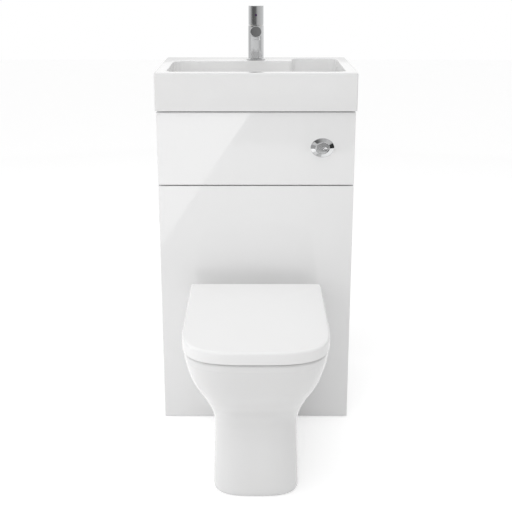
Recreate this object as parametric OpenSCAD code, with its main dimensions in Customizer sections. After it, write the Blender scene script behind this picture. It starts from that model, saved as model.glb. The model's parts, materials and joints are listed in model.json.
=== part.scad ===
// Toilet and basin combination unit: a narrow cabinet that hides a cistern,
// with a pan and seat in front of it and a basin with a mixer tap on top.
// Millimetres. +X is to the right, the front faces -Y, +Z is up.
// The origin is on the floor, midway across the width and midway along the depth.

/* [Cabinet] */
// Width of the cabinet
cabinet_w = 500; // [480:1:560]
// Depth of the cabinet from the wall to the face of its panels
cabinet_d = 353; // [345:1:400]
// Thickness of the two front panels
panel_t = 18; // [16:0.5:19]
// Thickness of the side panels
side_t = 15; // [15:0.5:18]
// Thickness of the rails and of the cistern shelf
rail_t = 18; // [15:0.5:18]
// Height of the removable upper panel that carries the flush button
upper_panel_h = 187; // [170:1:200]
// Shadow gap between the panels, and above the upper one
shadow_gap = 3; // [2:0.5:4]
// Gap between the lower panel and the floor
floor_gap = 2; // [1:0.5:5]

/* [Basin] */
// Width of the basin
basin_w = 506; // [500:1:570]
// Depth of the basin from the wall to its front face
basin_d = 358; // [350:1:405]
// Height of the top of the basin above the floor
basin_top_z = 945; // [935:1:960]
// Height of the front face of the basin
basin_h = 96; // [92:1:110]
// Width of the rim round the bowl
rim_w = 27; // [24:1:32]
// Depth of the ledge behind the bowl that carries the tap
ledge_d = 91; // [80:1:100]
// Thickness of that ledge
ledge_t = 16; // [14:0.5:20]
// Where the bowl steps back past the ledge, right of the middle
recess_x = 100; // [80:1:120]
// Depth of the bowl
bowl_depth = 80; // [70:1:84]

/* [Tap] */
// Height of the tap above the basin
tap_h = 147; // [140:1:165]
// Height of the joint between the tap's body and its handle
tap_joint_h = 94; // [90:1:104]
// Radius of the tap's body and handle
tap_r = 21.5; // [20:0.5:25]
// Distance from the wall to the middle of the tap
tap_setback = 52; // [48:1:56]
// Reach of the spout from the middle of the tap
spout_reach = 110; // [95:1:130]
// Radius of the spout
spout_r = 15.5; // [13:0.5:16]
// Rise of the spout towards its end, in degrees
spout_rise = 7; // [5:1:12]
// How far the handle lifts, in degrees
lift_angle = 20; // [12:1:22]

/* [Flush] */
// Height of the middle of the flush button above the floor
button_z = 756; // [740:1:770]
// Distance of the flush button from the right edge of the panel
button_x = 82; // [75:1:100]
// Half width of the button's oval bezel
bezel_r = 30; // [28:0.5:34]
// How far the bezel stands ahead of the panel
bezel_h = 8; // [6:0.5:10]
// Width of the cistern
cistern_w = 400; // [380:1:410]
// Depth of the cistern
cistern_d = 140; // [130:1:145]
// Height of the cistern's tank
cistern_h = 290; // [270:1:292]
// Height of the shelf's top, where the cistern stands
shelf_z = 440; // [430:1:445]
// Outer radius of the flush pipe
flush_pipe_r = 20; // [18:0.5:21]

/* [Pan] */
// How far the pan's seat reaches ahead of the panels
pan_reach = 477; // [460:1:500]
// Height of the pan's rim above the floor
pan_rim_z = 380; // [370:1:400]
// Half width of the pan at its rim
pan_half_w = 164; // [158:1:175]
// Half width of the pan's neck
neck_half_w = 97; // [90:1:105]
// How far the pan's neck reaches ahead of the panels
neck_reach = 375; // [360:1:395]
// Thickness of the pan's ceramic walls
pan_wall = 12; // [10:0.5:13]
// Height of the middle of the pan's outlet
outlet_z = 185; // [180:1:190]
// Outer radius of the pan's outlet spigot
spigot_r = 51; // [48:0.5:51.5]
// Height of the middle of the pan's flush inlet
inlet_z = 335; // [330:1:338]

/* [Seat] */
// Half width of the lid
lid_half_w = 166.5; // [162:0.5:180]
// Height of the lid's wrap-over edge
lid_h = 30; // [28:0.5:34]
// Gap between the pan's rim and the lid's edge
lid_gap = 4; // [3:0.5:5]
// Distance from the panels to the lid's straight back edge
lid_back = 59; // [50:1:70]
// Distance between the two hinge posts
hinge_pitch = 155; // [145:1:170]

/* [Waste] */
// Radius of the basin waste's threaded tube
waste_r = 20; // [19:0.5:21]
// Radius of the trap's bottle
trap_r = 30; // [28:0.5:32]
// Outer radius of the waste pipe that leaves the trap
waste_pipe_r = 16; // [15:0.5:16]

/* [Hidden] */
$fn = 48;

// Clearance of a shaft or plug in its hole, on the radius
fit = 0.05;
// Extra length of a cut past a face
past = 1;
// Clearance between pieces that pass each other
clear = 0.5;

// Planes that the pieces share
wall_y = (cabinet_d + pan_reach) / 2;
front_y = wall_y - cabinet_d;
carcass_y = front_y + panel_t;
carcass_top = basin_top_z - basin_h;
upper_top = carcass_top - shadow_gap;
upper_bottom = upper_top - upper_panel_h;
lower_top = upper_bottom - shadow_gap;
inner_x = cabinet_w / 2 - side_t;
button_mid = cabinet_w / 2 - button_x;

// Fixings of the carcass
rail_h = 70;
waste_rail_gap = 23;
middle_rail_h = 100;
bottom_rail_h = 80;
bottom_rail_z = 20;
shelf_d = 150;
dowel_r = 4;
dowel_in_side = 8;
dowel_in_rail = 22;
dowel_shift = 20;
stud_r = 4;
stud_in_panel = 8;
stud_in_side = 14;
stud_inset = 30;
stud_x = cabinet_w / 2 - side_t / 2;

// Wall brackets
bracket_t = 2;
bracket_leg = 30;
bracket_h = 30;
bracket_z = carcass_top - rail_h - 8 - bracket_h;
bracket_hole_r = 3.5;
screw_r = 2;
screw_len = 12;

// Basin
basin_front_y = wall_y - basin_d;
basin_x = basin_w / 2;
rim_back_w = 26;
basin_edge_r = 3;
bowl_corner_r = 25;
recess_corner_r = 12;
bowl_draft = 3;
bowl_floor_r = 20;
bowl_floor_z = basin_top_z - bowl_depth;
basin_wall = 14;
floor_recess = 4;
waste_y = (basin_front_y + rim_w + wall_y - ledge_d) / 2;
waste_hole_r = waste_r + 2;
overflow_r = 12;
overflow_z = basin_top_z - 30;
overflow_lip = 3;
overflow_t = 2;
overflow_len = 9;

// Basin waste and trap
waste_flange_r = 32;
waste_flange_t = 3;
waste_wall = 3;
plug_r = 27;
plug_stem_r = 4;
seal_h = 8;
waste_nut_h = 10;
waste_nut_r = 31;
waste_end_z = carcass_top - 61;
trap_neck_r = waste_r + 5;
trap_nut_r = waste_r + 11;
trap_top_z = waste_end_z - 3;
trap_nut_h = 20;
trap_nut_top = 5;
trap_rib = 2;
trap_body_h = 74;
trap_wall = 3;
trap_stub_len = 50;
trap_stub_r = waste_pipe_r + 5;
cup_h = 50;
cup_overlap = 12;
cup_r = trap_r + 2;
trap_bottom = trap_top_z - trap_body_h;
waste_pipe_drop = 30;
waste_pipe_z = trap_top_z - waste_pipe_drop;
waste_pipe_wall = 2;
pipe_gap = 4;
pipe_wall_gap = 3;
collar_t = 4;

// Each rail as nearest and farthest y, lowest and highest z
TOP_FRONT = [carcass_y, waste_y - waste_nut_r - waste_rail_gap, carcass_top - rail_t, carcass_top];
TOP_BACK = [wall_y - rail_t, wall_y, carcass_top - rail_h, carcass_top];
middle_z = upper_bottom - shadow_gap / 2;
MIDDLE = [carcass_y, carcass_y + rail_t, middle_z - middle_rail_h / 2, middle_z + middle_rail_h / 2];
BOTTOM_FRONT = [carcass_y, carcass_y + rail_t, bottom_rail_z, bottom_rail_z + bottom_rail_h];
BOTTOM_BACK = [wall_y - rail_t, wall_y, bottom_rail_z, bottom_rail_z + bottom_rail_h];
SHELF = [wall_y - shelf_d, wall_y, shelf_z - rail_t, shelf_z];
RAILS = [TOP_FRONT, TOP_BACK, MIDDLE, BOTTOM_FRONT, BOTTOM_BACK, SHELF];

// Tap
tap_y = wall_y - tap_setback;
tap_joint_z = basin_top_z + tap_joint_h;
tap_top_z = basin_top_z + tap_h;
base_ring_r = tap_r + 5;
base_ring_h = 4.5;
tap_hole_r = 17.5;
shank_r = 16.5;
handle_gap = 1;
handle_wall = 3;
handle_top_t = 5;
boss_r = 9;
boss_h = 36;
socket_depth = 14;
stem_half = 4;
stem_pin_r = 1.5;
pivot_z = tap_joint_z - 5;
stem_top_z = tap_top_z - handle_top_t - boss_h + socket_depth - past;
cartridge_r = 17.4;
cartridge_h = 32;
cartridge_nut_h = 10;
cartridge_z = tap_joint_z - 43;
turret_r = 10;
turret_slot_z = pivot_z - 8;
dot_drop = 25;
dot_z = tap_top_z - dot_drop;
dot_r = 3;
spout_top_clear = 5;
spout_root_z = tap_joint_z - spout_top_clear - spout_r / cos(spout_rise) - tap_r * tan(spout_rise);
aerator_r = 11;
aerator_back = 14;
aerator_len = 12;
tap_stud_r = 4;
clamp_r = 24;
clamp_t = 4;
ledge_under_z = basin_top_z - ledge_t;

// Cistern
cistern_wall = 4;
cistern_back_y = wall_y - 4;
cistern_y = cistern_back_y - cistern_d / 2;
cistern_top_z = shelf_z + cistern_h;
cistern_lid_t = 7;
tail_r = flush_pipe_r + 9.5;
tail_len = 35;
outlet_nut_r = tail_r + 14;
outlet_nut_h = 14;
shelf_hole_r = outlet_nut_r + 4;
seat_flange_r = tail_r + 9;
seat_flange_t = 6;
basket_r = seat_flange_r - 5;
basket_h = 52;
column_r = 17;
column_bore_r = 13.6;
column_h = 140;
bridge_t = 8;
lift_r = column_bore_r - fit;
lift_wall = 3;
lift_disc_t = 6;
lift_len = 235;
slider_r = 22;
slider_h = 30;
slider_z = shelf_z + 120;
cable_x = 60;
fill_x = -cistern_w / 2 + 50;
fill_z = cistern_top_z - 40;
fill_tail_r = 10.4;
fill_tail_len = 40;
fill_nut_r = fill_tail_r + 4;
fill_nut_h = 8;
fill_tube_r = 9;
fill_head_r = 20;
fill_head_h = 44;
fill_hole_r = fill_nut_r + 6;
float_r = 25;
float_h = 60;
float_z = shelf_z + 120;

// Flush pipe
flush_bend = 60;
flush_wall = 2.5;
inlet_r = flush_pipe_r + 8;
inlet_depth = 50;
flush_hole_r = inlet_r + 8;
flush_end_y = front_y - 42;
seal_lip = 4;

// Flush button
sleeve_r = 22.5;
sleeve_wall = 2;
sleeve_back = 24;
bezel_lip = 2;
bezel_face_r = 24;
bezel_nut_r = 31;
bezel_nut_h = 8;
button_oval = 0.82;
full_r = 17;
full_shift = -5;
half_r = 6.5;
half_shift = 8;
half_drop = 3;
opening_gap = 0.5;
button_t = 6;
button_gap = 0.4;
button_stem_r = 3;
guide_t = 4;
guide_back = 4;
button_sink = 0.5;
housing_r = 20;
housing_len = 22;
cable_r = 3;
cable_drop = 92;
sleeve_end_y = carcass_y + sleeve_back;

// Route of the flush cable from the button's housing to the bridge in the cistern
CABLE_ROUTE = [
    [button_mid, sleeve_end_y + housing_len - 3, button_z],
    [button_mid, sleeve_end_y + housing_len + 37, button_z + 3],
    [150, 235, button_z + 40],
    [122, 295, button_z + 58],
    [88, 332, button_z + 50],
    [cable_x + 3, cistern_y, button_z + 18],
    [cable_x, cistern_y, cistern_top_z],
    [cable_x, cistern_y, cistern_top_z - cable_drop]
];

// Pan: rim shares first the height, then the swell of the width, then that of the front
PAN_PROFILE = [
    [0.032, 0.060, 0.072],
    [0.184, 0.037, 0.041],
    [0.395, 0.000, 0.000],
    [0.513, 0.045, 0.062],
    [0.632, 0.284, 0.340],
    [0.763, 0.687, 0.680],
    [0.882, 0.903, 0.887],
    [0.960, 0.985, 0.985]
];
rim_reach = pan_reach - 4;
neck_bow = 62;
rim_bow = 150;
neck_power = 3;
rim_power = 3.3;
pan_edge_r = 6;
pan_deck_t = 22;
spigot_len = 60;
spigot_bore_r = spigot_r - 8;
spigot_hole_r = spigot_r + 3;

// Bowl of the pan: height share of the rim, then the share of its opening
BOWL_PROFILE = [[0.460, 0.00], [0.540, 0.30], [0.632, 0.58], [0.750, 0.82], [0.868, 0.95], [0.980, 0.99]];
bowl_half_w = pan_half_w - 48;
bowl_front = rim_reach - 50;
bowl_back = 120;
bowl_bow = 130;
bowl_power = 2.4;
sump_half_w = 40;
sump_front = 268;
sump_back = 184;
sump_z = outlet_z - 15;
trapway_r = 28;
trapway_reach = [226, 170, 100, 45];
trapway_z = [outlet_z - 20, outlet_z - 57, outlet_z + 37, outlet_z + 3];

// Seat
seat_reach = pan_reach;
lid_bottom = pan_rim_z + lid_gap;
lid_top = lid_bottom + lid_h;
lid_t = 5;
lid_skirt = 4.5;
lid_edge_r = 5;
lid_bow = 150;
lid_power = 3.3;
ring_clear = 1.5;
ring_bottom = pan_rim_z + lid_gap + clear;
ring_h = 17.5;
ring_half_w = lid_half_w - lid_skirt - ring_clear;
ring_reach = seat_reach - lid_skirt - ring_clear;
ring_back = lid_back + 31;
ring_w = 46;
ring_back_w = 40;
ring_edge_r = 5;
bumper_r = 8;
hinge_reach = lid_back + 12;
hinge_y = front_y - hinge_reach;
hinge_z = lid_top - 14;
barrel_r = 7;
pin_r = 4;
post_half = 7.5;
ear_gap = 0.5;
ear_w = 12;
post_r = 7.5;
post_flange_r = 16;
post_flange_t = 3;
post_stud_r = 4;
post_stud_len = 46;
deck_hole_r = 7;

// Floor fixings of the pan
foot_bracket_reach = 210;
foot_bracket_l = 60;
foot_bracket_h = 60;
foot_bracket_w = 35;
foot_bracket_t = 3;
foot_screw_z = 40;
foot_screw_r = 3;
cap_r = 8;
cap_h = 3;
cap_gap = 0.3;

// Smoothness of the outlines
bow_steps = 18;
corner_steps = 3;
edge_steps = 3;
between_steps = 3;

function lerp(a, b, share) = a + (b - a) * share;

function signed_power(v, p) = sign(v) * pow(abs(v), p);

function arc_points(x, y, r, from, to, steps) =
    [for (i = [0 : steps]) let (a = lerp(from, to, i / steps)) [x + r * cos(a), y + r * sin(a)]];

// Outline seen from above: straight sides, a bowed front and a straight back
function d_outline(half_w, front, back, bow, power, back_r) = concat(
    [for (i = [0 : bow_steps]) let (a = 180 + 180 * i / bow_steps)
        [half_w * signed_power(cos(a), 2 / power), front + bow + bow * signed_power(sin(a), 2 / power)]],
    arc_points(half_w - back_r, back - back_r, back_r, 0, 90, corner_steps),
    arc_points(back_r - half_w, back - back_r, back_r, 90, 180, corner_steps)
);

// Outline of a rectangle with round corners
function box_outline(x, y0, y1, r) = concat(
    arc_points(r - x, y0 + r, r, 180, 270, corner_steps),
    arc_points(x - r, y0 + r, r, 270, 360, corner_steps),
    arc_points(x - r, y1 - r, r, 0, 90, corner_steps),
    arc_points(r - x, y1 - r, r, 90, 180, corner_steps)
);

function at_height(outline, z) = [for (p = outline) [p[0], p[1], z]];

// Point u of a smooth curve through the rows of a table, where row 0 is u = 0
function on_curve(rows, u) =
    let (last = len(rows) - 1, i = min(floor(u), last - 1), t = u - i)
    let (a = rows[max(i - 1, 0)], b = rows[i], c = rows[i + 1], d = rows[min(i + 2, last)])
    b + (c - a) * t / 2 + (2 * a - 5 * b + 4 * c - d) * t * t / 2 + (3 * b - a - 3 * c + d) * t * t * t / 2;

function curve_rows(rows, steps) = [for (i = [0 : steps * (len(rows) - 1)]) on_curve(rows, i / steps)];

// Solid through outlines of equal count, listed from the lowest up
module loft(rings) {
    n = len(rings[0]);
    last = len(rings) - 1;
    points = [for (ring = rings) each ring];
    sides = [for (k = [0 : last - 1]) for (i = [0 : n - 1])
        let (j = (i + 1) % n, a = k * n + i, b = k * n + j)
        each [[a, a + n, b + n], [a, b + n, b]]];
    bottom = [for (i = [0 : n - 1]) i];
    top = [for (i = [0 : n - 1]) last * n + n - 1 - i];
    polyhedron(points, concat([bottom], sides, [top]), convexity = 8);
}

module box(lo, hi) {
    translate(lo) cube(hi - lo);
}

module along_x(x, y, z) {
    translate([x, y, z]) rotate([0, 90, 0]) children();
}

module along_y(x, y, z) {
    translate([x, y, z]) rotate([-90, 0, 0]) children();
}

module tube(r_out, r_in, h) {
    difference() {
        cylinder(r = r_out, h = h);
        translate([0, 0, -past]) cylinder(r = r_in, h = h + 2 * past);
    }
}

module both_sides() {
    for (side = [-1, 1]) scale([side, 1, 1]) children();
}

// Middle of a rail's end, moved along the longer side of its section
function rail_point(r) =
    let (y = (r[0] + r[1]) / 2, z = (r[2] + r[3]) / 2)
    r[1] - r[0] > r[3] - r[2] ? [y - dowel_shift, z] : [y, z - dowel_shift];

module dowel_line(r, grow) {
    for (rail = RAILS)
        for (side = [-1, 1])
            let (p = rail_point(rail), x0 = side > 0 ? inner_x - dowel_in_rail : -inner_x - dowel_in_side)
            along_x(x0 - grow, p[0], p[1]) cylinder(r = r, h = dowel_in_side + dowel_in_rail + 2 * grow);
}

// Places of the studs that hold the two panels on the edges of the side panels
stud_heights = [
    upper_top - stud_inset, upper_bottom + stud_inset,
    lower_top - stud_inset, (lower_top + floor_gap) / 2, floor_gap + stud_inset
];

module stud_line(r, grow) {
    for (z = stud_heights)
        for (x = [-stud_x, stud_x])
            along_y(x, carcass_y - stud_in_panel - grow, z) cylinder(r = r, h = stud_in_panel + stud_in_side + 2 * grow);
}

module side_panel(x0) {
    difference() {
        box([x0, carcass_y, 0], [x0 + side_t, wall_y, carcass_top]);
        dowel_line(dowel_r + fit, clear);
        stud_line(stud_r + fit, clear);
        screw_line(screw_r + fit);
    }
}

module side_panel_left() {
    color("white") side_panel(-cabinet_w / 2);
}

module side_panel_right() {
    color("white") side_panel(inner_x);
}

module rail(r) {
    difference() {
        box([-inner_x, r[0], r[2]], [inner_x, r[1], r[3]]);
        dowel_line(dowel_r + fit, clear);
    }
}

module top_front_rail() {
    color("gainsboro") rail(TOP_FRONT);
}

module top_back_rail() {
    color("gainsboro") rail(TOP_BACK);
}

module middle_rail() {
    color("gainsboro") rail(MIDDLE);
}

module bottom_front_rail() {
    color("gainsboro") rail(BOTTOM_FRONT);
}

module bottom_back_rail() {
    color("gainsboro") rail(BOTTOM_BACK);
}

module cistern_shelf() {
    color("gainsboro") difference() {
        rail(SHELF);
        translate([0, cistern_y, shelf_z - rail_t - past]) cylinder(r = shelf_hole_r, h = rail_t + 2 * past);
        translate([fill_x, cistern_y, shelf_z - rail_t - past]) cylinder(r = fill_hole_r, h = rail_t + 2 * past);
    }
}

module wooden_dowels() {
    color("burlywood") dowel_line(dowel_r, 0);
}

module upper_panel() {
    color("white") difference() {
        box([-cabinet_w / 2, front_y, upper_bottom], [cabinet_w / 2, carcass_y, upper_top]);
        along_y(button_mid, front_y - past, button_z) cylinder(r = sleeve_r + 1, h = panel_t + 2 * past);
        stud_line(stud_r + fit, clear);
    }
}

module lower_panel() {
    color("white") difference() {
        box([-cabinet_w / 2, front_y, floor_gap], [cabinet_w / 2, carcass_y, lower_top]);
        along_y(0, front_y - past, inlet_z) cylinder(r = flush_hole_r, h = panel_t + 2 * past);
        along_y(0, front_y - past, outlet_z) cylinder(r = spigot_hole_r, h = panel_t + 2 * past);
        stud_line(stud_r + fit, clear);
    }
}

module panel_studs() {
    color("silver") stud_line(stud_r, 0);
}

module wall_brackets() {
    color("silver") both_sides() difference() {
        union() {
            box([inner_x - bracket_t, wall_y - bracket_leg, bracket_z], [inner_x, wall_y, bracket_z + bracket_h]);
            box([inner_x - bracket_leg, wall_y - bracket_t, bracket_z], [inner_x, wall_y, bracket_z + bracket_h]);
        }
        along_y(inner_x - bracket_leg / 2, wall_y - bracket_t - past, bracket_z + bracket_h / 2)
            cylinder(r = bracket_hole_r, h = bracket_t + 2 * past);
        along_x(inner_x - bracket_t - past, wall_y - bracket_leg / 2, bracket_z + bracket_h / 2)
            cylinder(r = screw_r + fit, h = bracket_t + 2 * past);
    }
}

// Shanks of the screws that hold the wall brackets
module screw_line(r) {
    for (x = [-inner_x - screw_len, inner_x - bracket_t])
        along_x(x, wall_y - bracket_leg / 2, bracket_z + bracket_h / 2) cylinder(r = r, h = screw_len + bracket_t);
}

module bracket_screws() {
    color("silver") {
        screw_line(screw_r);
        both_sides() along_x(inner_x - bracket_t, wall_y - bracket_leg / 2, bracket_z + bracket_h / 2)
            mirror([0, 0, 1]) cylinder(r1 = 2 * screw_r, r2 = screw_r, h = screw_r);
    }
}

// Outline of the L-shaped bowl, drawn in from its rim; its left end slopes more
function bowl_outline(inset) =
    let (
        x0 = -basin_x + rim_w + 1.6 * inset, x1 = basin_x - rim_w - inset, xr = recess_x + inset,
        y0 = basin_front_y + rim_w + inset, y1 = wall_y - ledge_d - inset, yr = wall_y - rim_back_w - inset,
        r = max(bowl_corner_r - inset / 2, 6), re = recess_corner_r + max(inset, -basin_edge_r)
    )
    concat(
        arc_points(x0 + r, y0 + r, r, 180, 270, 5),
        arc_points(x1 - r, y0 + r, r, 270, 360, 5),
        arc_points(x1 - r, yr - r, r, 0, 90, 5),
        arc_points(xr + r, yr - r, r, 90, 180, 5),
        arc_points(xr - re, y1 + re, re, 0, -90, 5),
        arc_points(x0 + r, y1 - r, r, 90, 180, 5)
    );

// Bowl from its floor up: a rounded foot, drafted walls and a rounded lip
module basin_bowl() {
    wall_inset = (bowl_depth - bowl_floor_r) * tan(bowl_draft);
    foot = [for (i = [0 : 4]) let (a = 90 - 90 * i / 4)
        at_height(bowl_outline(wall_inset + bowl_floor_r * (1 - cos(a))), bowl_floor_z + bowl_floor_r * (1 - sin(a)))];
    lip = [for (i = [0 : edge_steps]) let (a = 90 * i / edge_steps)
        at_height(bowl_outline(-basin_edge_r * (1 - cos(a))), basin_top_z - basin_edge_r * (1 - sin(a)))];
    cut = [at_height(bowl_outline(-basin_edge_r), basin_top_z + past)];
    loft(concat(foot, lip, cut));
}

module basin_block() {
    edge = [for (i = [0 : edge_steps]) let (a = 90 * i / edge_steps, c = basin_edge_r * (1 - cos(a)))
        at_height(box_outline(basin_x - c, basin_front_y + c, wall_y, basin_edge_r),
            basin_top_z - basin_edge_r * (1 - sin(a)))];
    foot = [at_height(box_outline(basin_x, basin_front_y, wall_y, basin_edge_r), carcass_top)];
    loft(concat(foot, edge));
}

module basin() {
    color("white") difference() {
        basin_block();
        basin_bowl();
        // Hollow under the ledge, where the tap is clamped
        box([basin_wall - basin_x, wall_y - ledge_d + basin_wall, carcass_top - past],
            [recess_x - basin_wall, wall_y - basin_wall, ledge_under_z]);
        // Shallow recess round the boss of the waste
        difference() {
            box([-basin_x + rim_w + basin_wall, basin_front_y + rim_w + basin_wall, carcass_top - past],
                [basin_x - rim_w - basin_wall, wall_y - ledge_d - basin_wall, carcass_top + floor_recess]);
            translate([0, waste_y, carcass_top - 2 * past]) cylinder(r = waste_nut_r + 5, h = floor_recess + 4 * past);
        }
        translate([0, tap_y, ledge_under_z - past]) cylinder(r = tap_hole_r, h = ledge_t + 2 * past);
        translate([0, waste_y, carcass_top - past]) cylinder(r = waste_hole_r, h = basin_h);
        along_y(0, basin_front_y + rim_w - basin_wall, overflow_z) cylinder(r = overflow_r, h = 2 * basin_wall);
    }
}

// Lies flat on the drafted wall of the bowl
module overflow_ring() {
    face_y = basin_front_y + rim_w + (basin_top_z - overflow_z) * tan(bowl_draft);
    color("silver") translate([0, face_y, overflow_z]) rotate([bowl_draft - 90, 0, 0]) difference() {
        union() {
            translate([0, 0, fit]) cylinder(r = overflow_r + overflow_lip, h = overflow_t);
            translate([0, 0, -overflow_len]) cylinder(r = overflow_r - clear, h = overflow_len + fit + overflow_t / 2);
        }
        translate([0, 0, -overflow_len - past]) cylinder(r = overflow_r - overflow_lip, h = overflow_len + overflow_t + 3 * past);
    }
}

module waste_body() {
    color("silver") translate([0, waste_y, 0]) {
        translate([0, 0, waste_end_z])
            tube(waste_r, waste_r - waste_wall, bowl_floor_z + waste_flange_t - waste_end_z);
        translate([0, 0, bowl_floor_z]) rotate_extrude()
            polygon([[waste_r - fit, 0], [waste_flange_r, 0], [waste_flange_r, 1], [waste_flange_r - 2, waste_flange_t],
                [waste_r - fit, waste_flange_t]]);
        // Spider that guides the plug
        translate([0, 0, carcass_top]) {
            tube(plug_stem_r + 3, plug_stem_r + fit, 6);
            for (a = [0 : 90 : 270]) rotate(a)
                box([plug_stem_r + 2, -1, 0], [waste_r - waste_wall + 1, 1, 6]);
        }
    }
}

module waste_plug() {
    color("silver") translate([0, waste_y, 0]) {
        translate([0, 0, bowl_floor_z + waste_flange_t + clear]) rotate_extrude()
            polygon([[0, 0], [plug_r, 0], [plug_r, 1.5], [plug_r - 2, 3.5], [plug_r - 10, 5], [0, 6]]);
        translate([0, 0, carcass_top - 14]) cylinder(r = plug_stem_r, h = bowl_floor_z + waste_flange_t - carcass_top + 16);
    }
}

module waste_seal() {
    color("dimgray") translate([0, waste_y, carcass_top - seal_h]) tube(waste_nut_r - 3, waste_r + fit, seal_h);
}

module waste_nut() {
    color("silver") translate([0, waste_y, carcass_top - seal_h - waste_nut_h]) difference() {
        cylinder(r = waste_nut_r, h = waste_nut_h, $fn = 6);
        translate([0, 0, -past]) cylinder(r = waste_r + fit, h = waste_nut_h + 2 * past);
    }
}

module trap_nut() {
    color("white") translate([0, waste_y, trap_top_z]) difference() {
        union() {
            cylinder(r = trap_nut_r, h = trap_nut_h);
            for (a = [0 : 45 : 315]) rotate(a) translate([trap_nut_r - 1, -trap_rib, 0]) cube([trap_rib + 1, 2 * trap_rib, trap_nut_h]);
        }
        translate([0, 0, -past]) cylinder(r = waste_r + fit, h = trap_nut_h + 2 * past);
        translate([0, 0, -past]) cylinder(r = trap_neck_r + fit, h = trap_nut_h - trap_nut_top + past);
    }
}

module trap_body() {
    color("white") difference() {
        union() {
            translate([0, waste_y, trap_bottom]) cylinder(r = trap_r, h = trap_body_h);
            translate([0, waste_y, trap_top_z - past]) cylinder(r = trap_neck_r, h = trap_nut_h - trap_nut_top);
            along_y(0, waste_y, waste_pipe_z) cylinder(r = trap_stub_r, h = trap_stub_len);
        }
        translate([0, waste_y, trap_bottom - past]) cylinder(r = trap_r - trap_wall, h = trap_body_h - trap_wall + past);
        translate([0, waste_y, trap_top_z - trap_wall - past]) cylinder(r = waste_r + fit, h = trap_nut_h + trap_wall + 2 * past);
        along_y(0, waste_y, waste_pipe_z) cylinder(r = waste_pipe_r + fit, h = trap_stub_len + past);
    }
}

module trap_cup() {
    color("white") translate([0, waste_y, trap_bottom + cup_overlap - cup_h]) difference() {
        union() {
            cylinder(r = cup_r, h = cup_h);
            for (a = [0 : 30 : 330]) rotate(a) translate([cup_r - 1, -1.5, 0]) cube([2.5, 3, cup_h - 4]);
        }
        translate([0, 0, trap_wall]) cylinder(r = trap_r - trap_wall, h = cup_h);
        translate([0, 0, cup_h - cup_overlap]) cylinder(r = trap_r + fit, h = cup_overlap + past);
    }
}

// The collar stops the pipe at the end of the trap's stub
module waste_pipe() {
    start_y = waste_y + trap_r + pipe_gap;
    stub_y = waste_y + trap_stub_len;
    color("white") difference() {
        union() {
            along_y(0, start_y, waste_pipe_z) cylinder(r = waste_pipe_r, h = wall_y - pipe_wall_gap - start_y);
            along_y(0, stub_y, waste_pipe_z) cylinder(r = trap_stub_r - past, h = collar_t);
        }
        along_y(0, start_y - past, waste_pipe_z) cylinder(r = waste_pipe_r - waste_pipe_wall, h = wall_y - start_y);
    }
}

module spout_line(from, r, length) {
    translate([0, tap_y, spout_root_z]) rotate([90 - spout_rise, 0, 0]) translate([0, 0, from]) cylinder(r = r, h = length);
}

module tap_body() {
    spout_len = spout_reach / cos(spout_rise);
    aerator_y = tap_y - spout_reach + aerator_back;
    color("silver") difference() {
        union() {
            translate([0, tap_y, basin_top_z + base_ring_h]) cylinder(r = tap_r, h = tap_joint_h - base_ring_h);
            translate([0, tap_y, ledge_under_z + 2]) cylinder(r = shank_r, h = ledge_t + base_ring_h);
            spout_line(0, spout_r, spout_len);
        }
        translate([0, tap_y, cartridge_z]) cylinder(r = cartridge_r + fit, h = tap_joint_z);
        translate([0, tap_y, ledge_under_z - past]) cylinder(r = tap_stud_r + fit, h = 30);
        // Waterway along the spout and down to the aerator
        spout_line(tap_r + 4, spout_r - 5, spout_len - tap_r - 10);
        translate([0, aerator_y, spout_root_z - spout_r]) cylinder(r = aerator_r - 1, h = spout_reach * tan(spout_rise) + spout_r);
    }
}

module aerator() {
    aerator_y = tap_y - spout_reach + aerator_back;
    tip_z = spout_root_z + (spout_reach - aerator_back) * tan(spout_rise);
    color("silver") translate([0, aerator_y, tip_z - spout_r - aerator_len / 2]) difference() {
        union() {
            cylinder(r = aerator_r - 1 - fit, h = aerator_len);
            cylinder(r = aerator_r, h = 3);
        }
        translate([0, 0, -past]) cylinder(r = aerator_r - 4, h = 4);
        for (a = [0 : 60 : 300]) rotate(a) translate([4, 0, -past]) cylinder(r = 1.2, h = aerator_len + 2 * past);
    }
}

module tap_base_ring() {
    color("silver") translate([0, tap_y, basin_top_z]) rotate_extrude()
        polygon([[shank_r + fit, 0], [base_ring_r, 0], [base_ring_r, 1.5], [base_ring_r - 2.5, base_ring_h], [shank_r + fit, base_ring_h]]);
}

module tap_cartridge() {
    color("white") translate([0, tap_y, cartridge_z]) difference() {
        cylinder(r = cartridge_r, h = cartridge_h);
        translate([0, 0, cartridge_h - 18]) cylinder(r = turret_r, h = 18 + past);
        for (x = [-8, 8]) translate([x, 4, -past]) cylinder(r = 4, h = 10);
    }
}

module cartridge_nut() {
    color("goldenrod") translate([0, tap_y, cartridge_z + cartridge_h]) difference() {
        cylinder(r = cartridge_r, h = cartridge_nut_h);
        translate([0, 0, -past]) cylinder(r = turret_r + 0.3, h = cartridge_nut_h + 2 * past);
        for (a = [0 : 60 : 300]) rotate(a) translate([turret_r + 4, -1.5, cartridge_nut_h - 3]) cube([4, 3, 4]);
    }
}

module cartridge_turret() {
    foot_z = cartridge_z + cartridge_h - 18 + clear;
    color("dimgray") {
        difference() {
            translate([0, tap_y, foot_z]) cylinder(r = turret_r - fit, h = tap_joint_z - foot_z);
            box([-stem_half - 0.1, tap_y - turret_r, turret_slot_z], [stem_half + 0.1, tap_y + turret_r, tap_joint_z + past]);
        }
        along_x(-stem_half - 2, tap_y, pivot_z) cylinder(r = stem_pin_r, h = 2 * stem_half + 4);
    }
}

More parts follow.
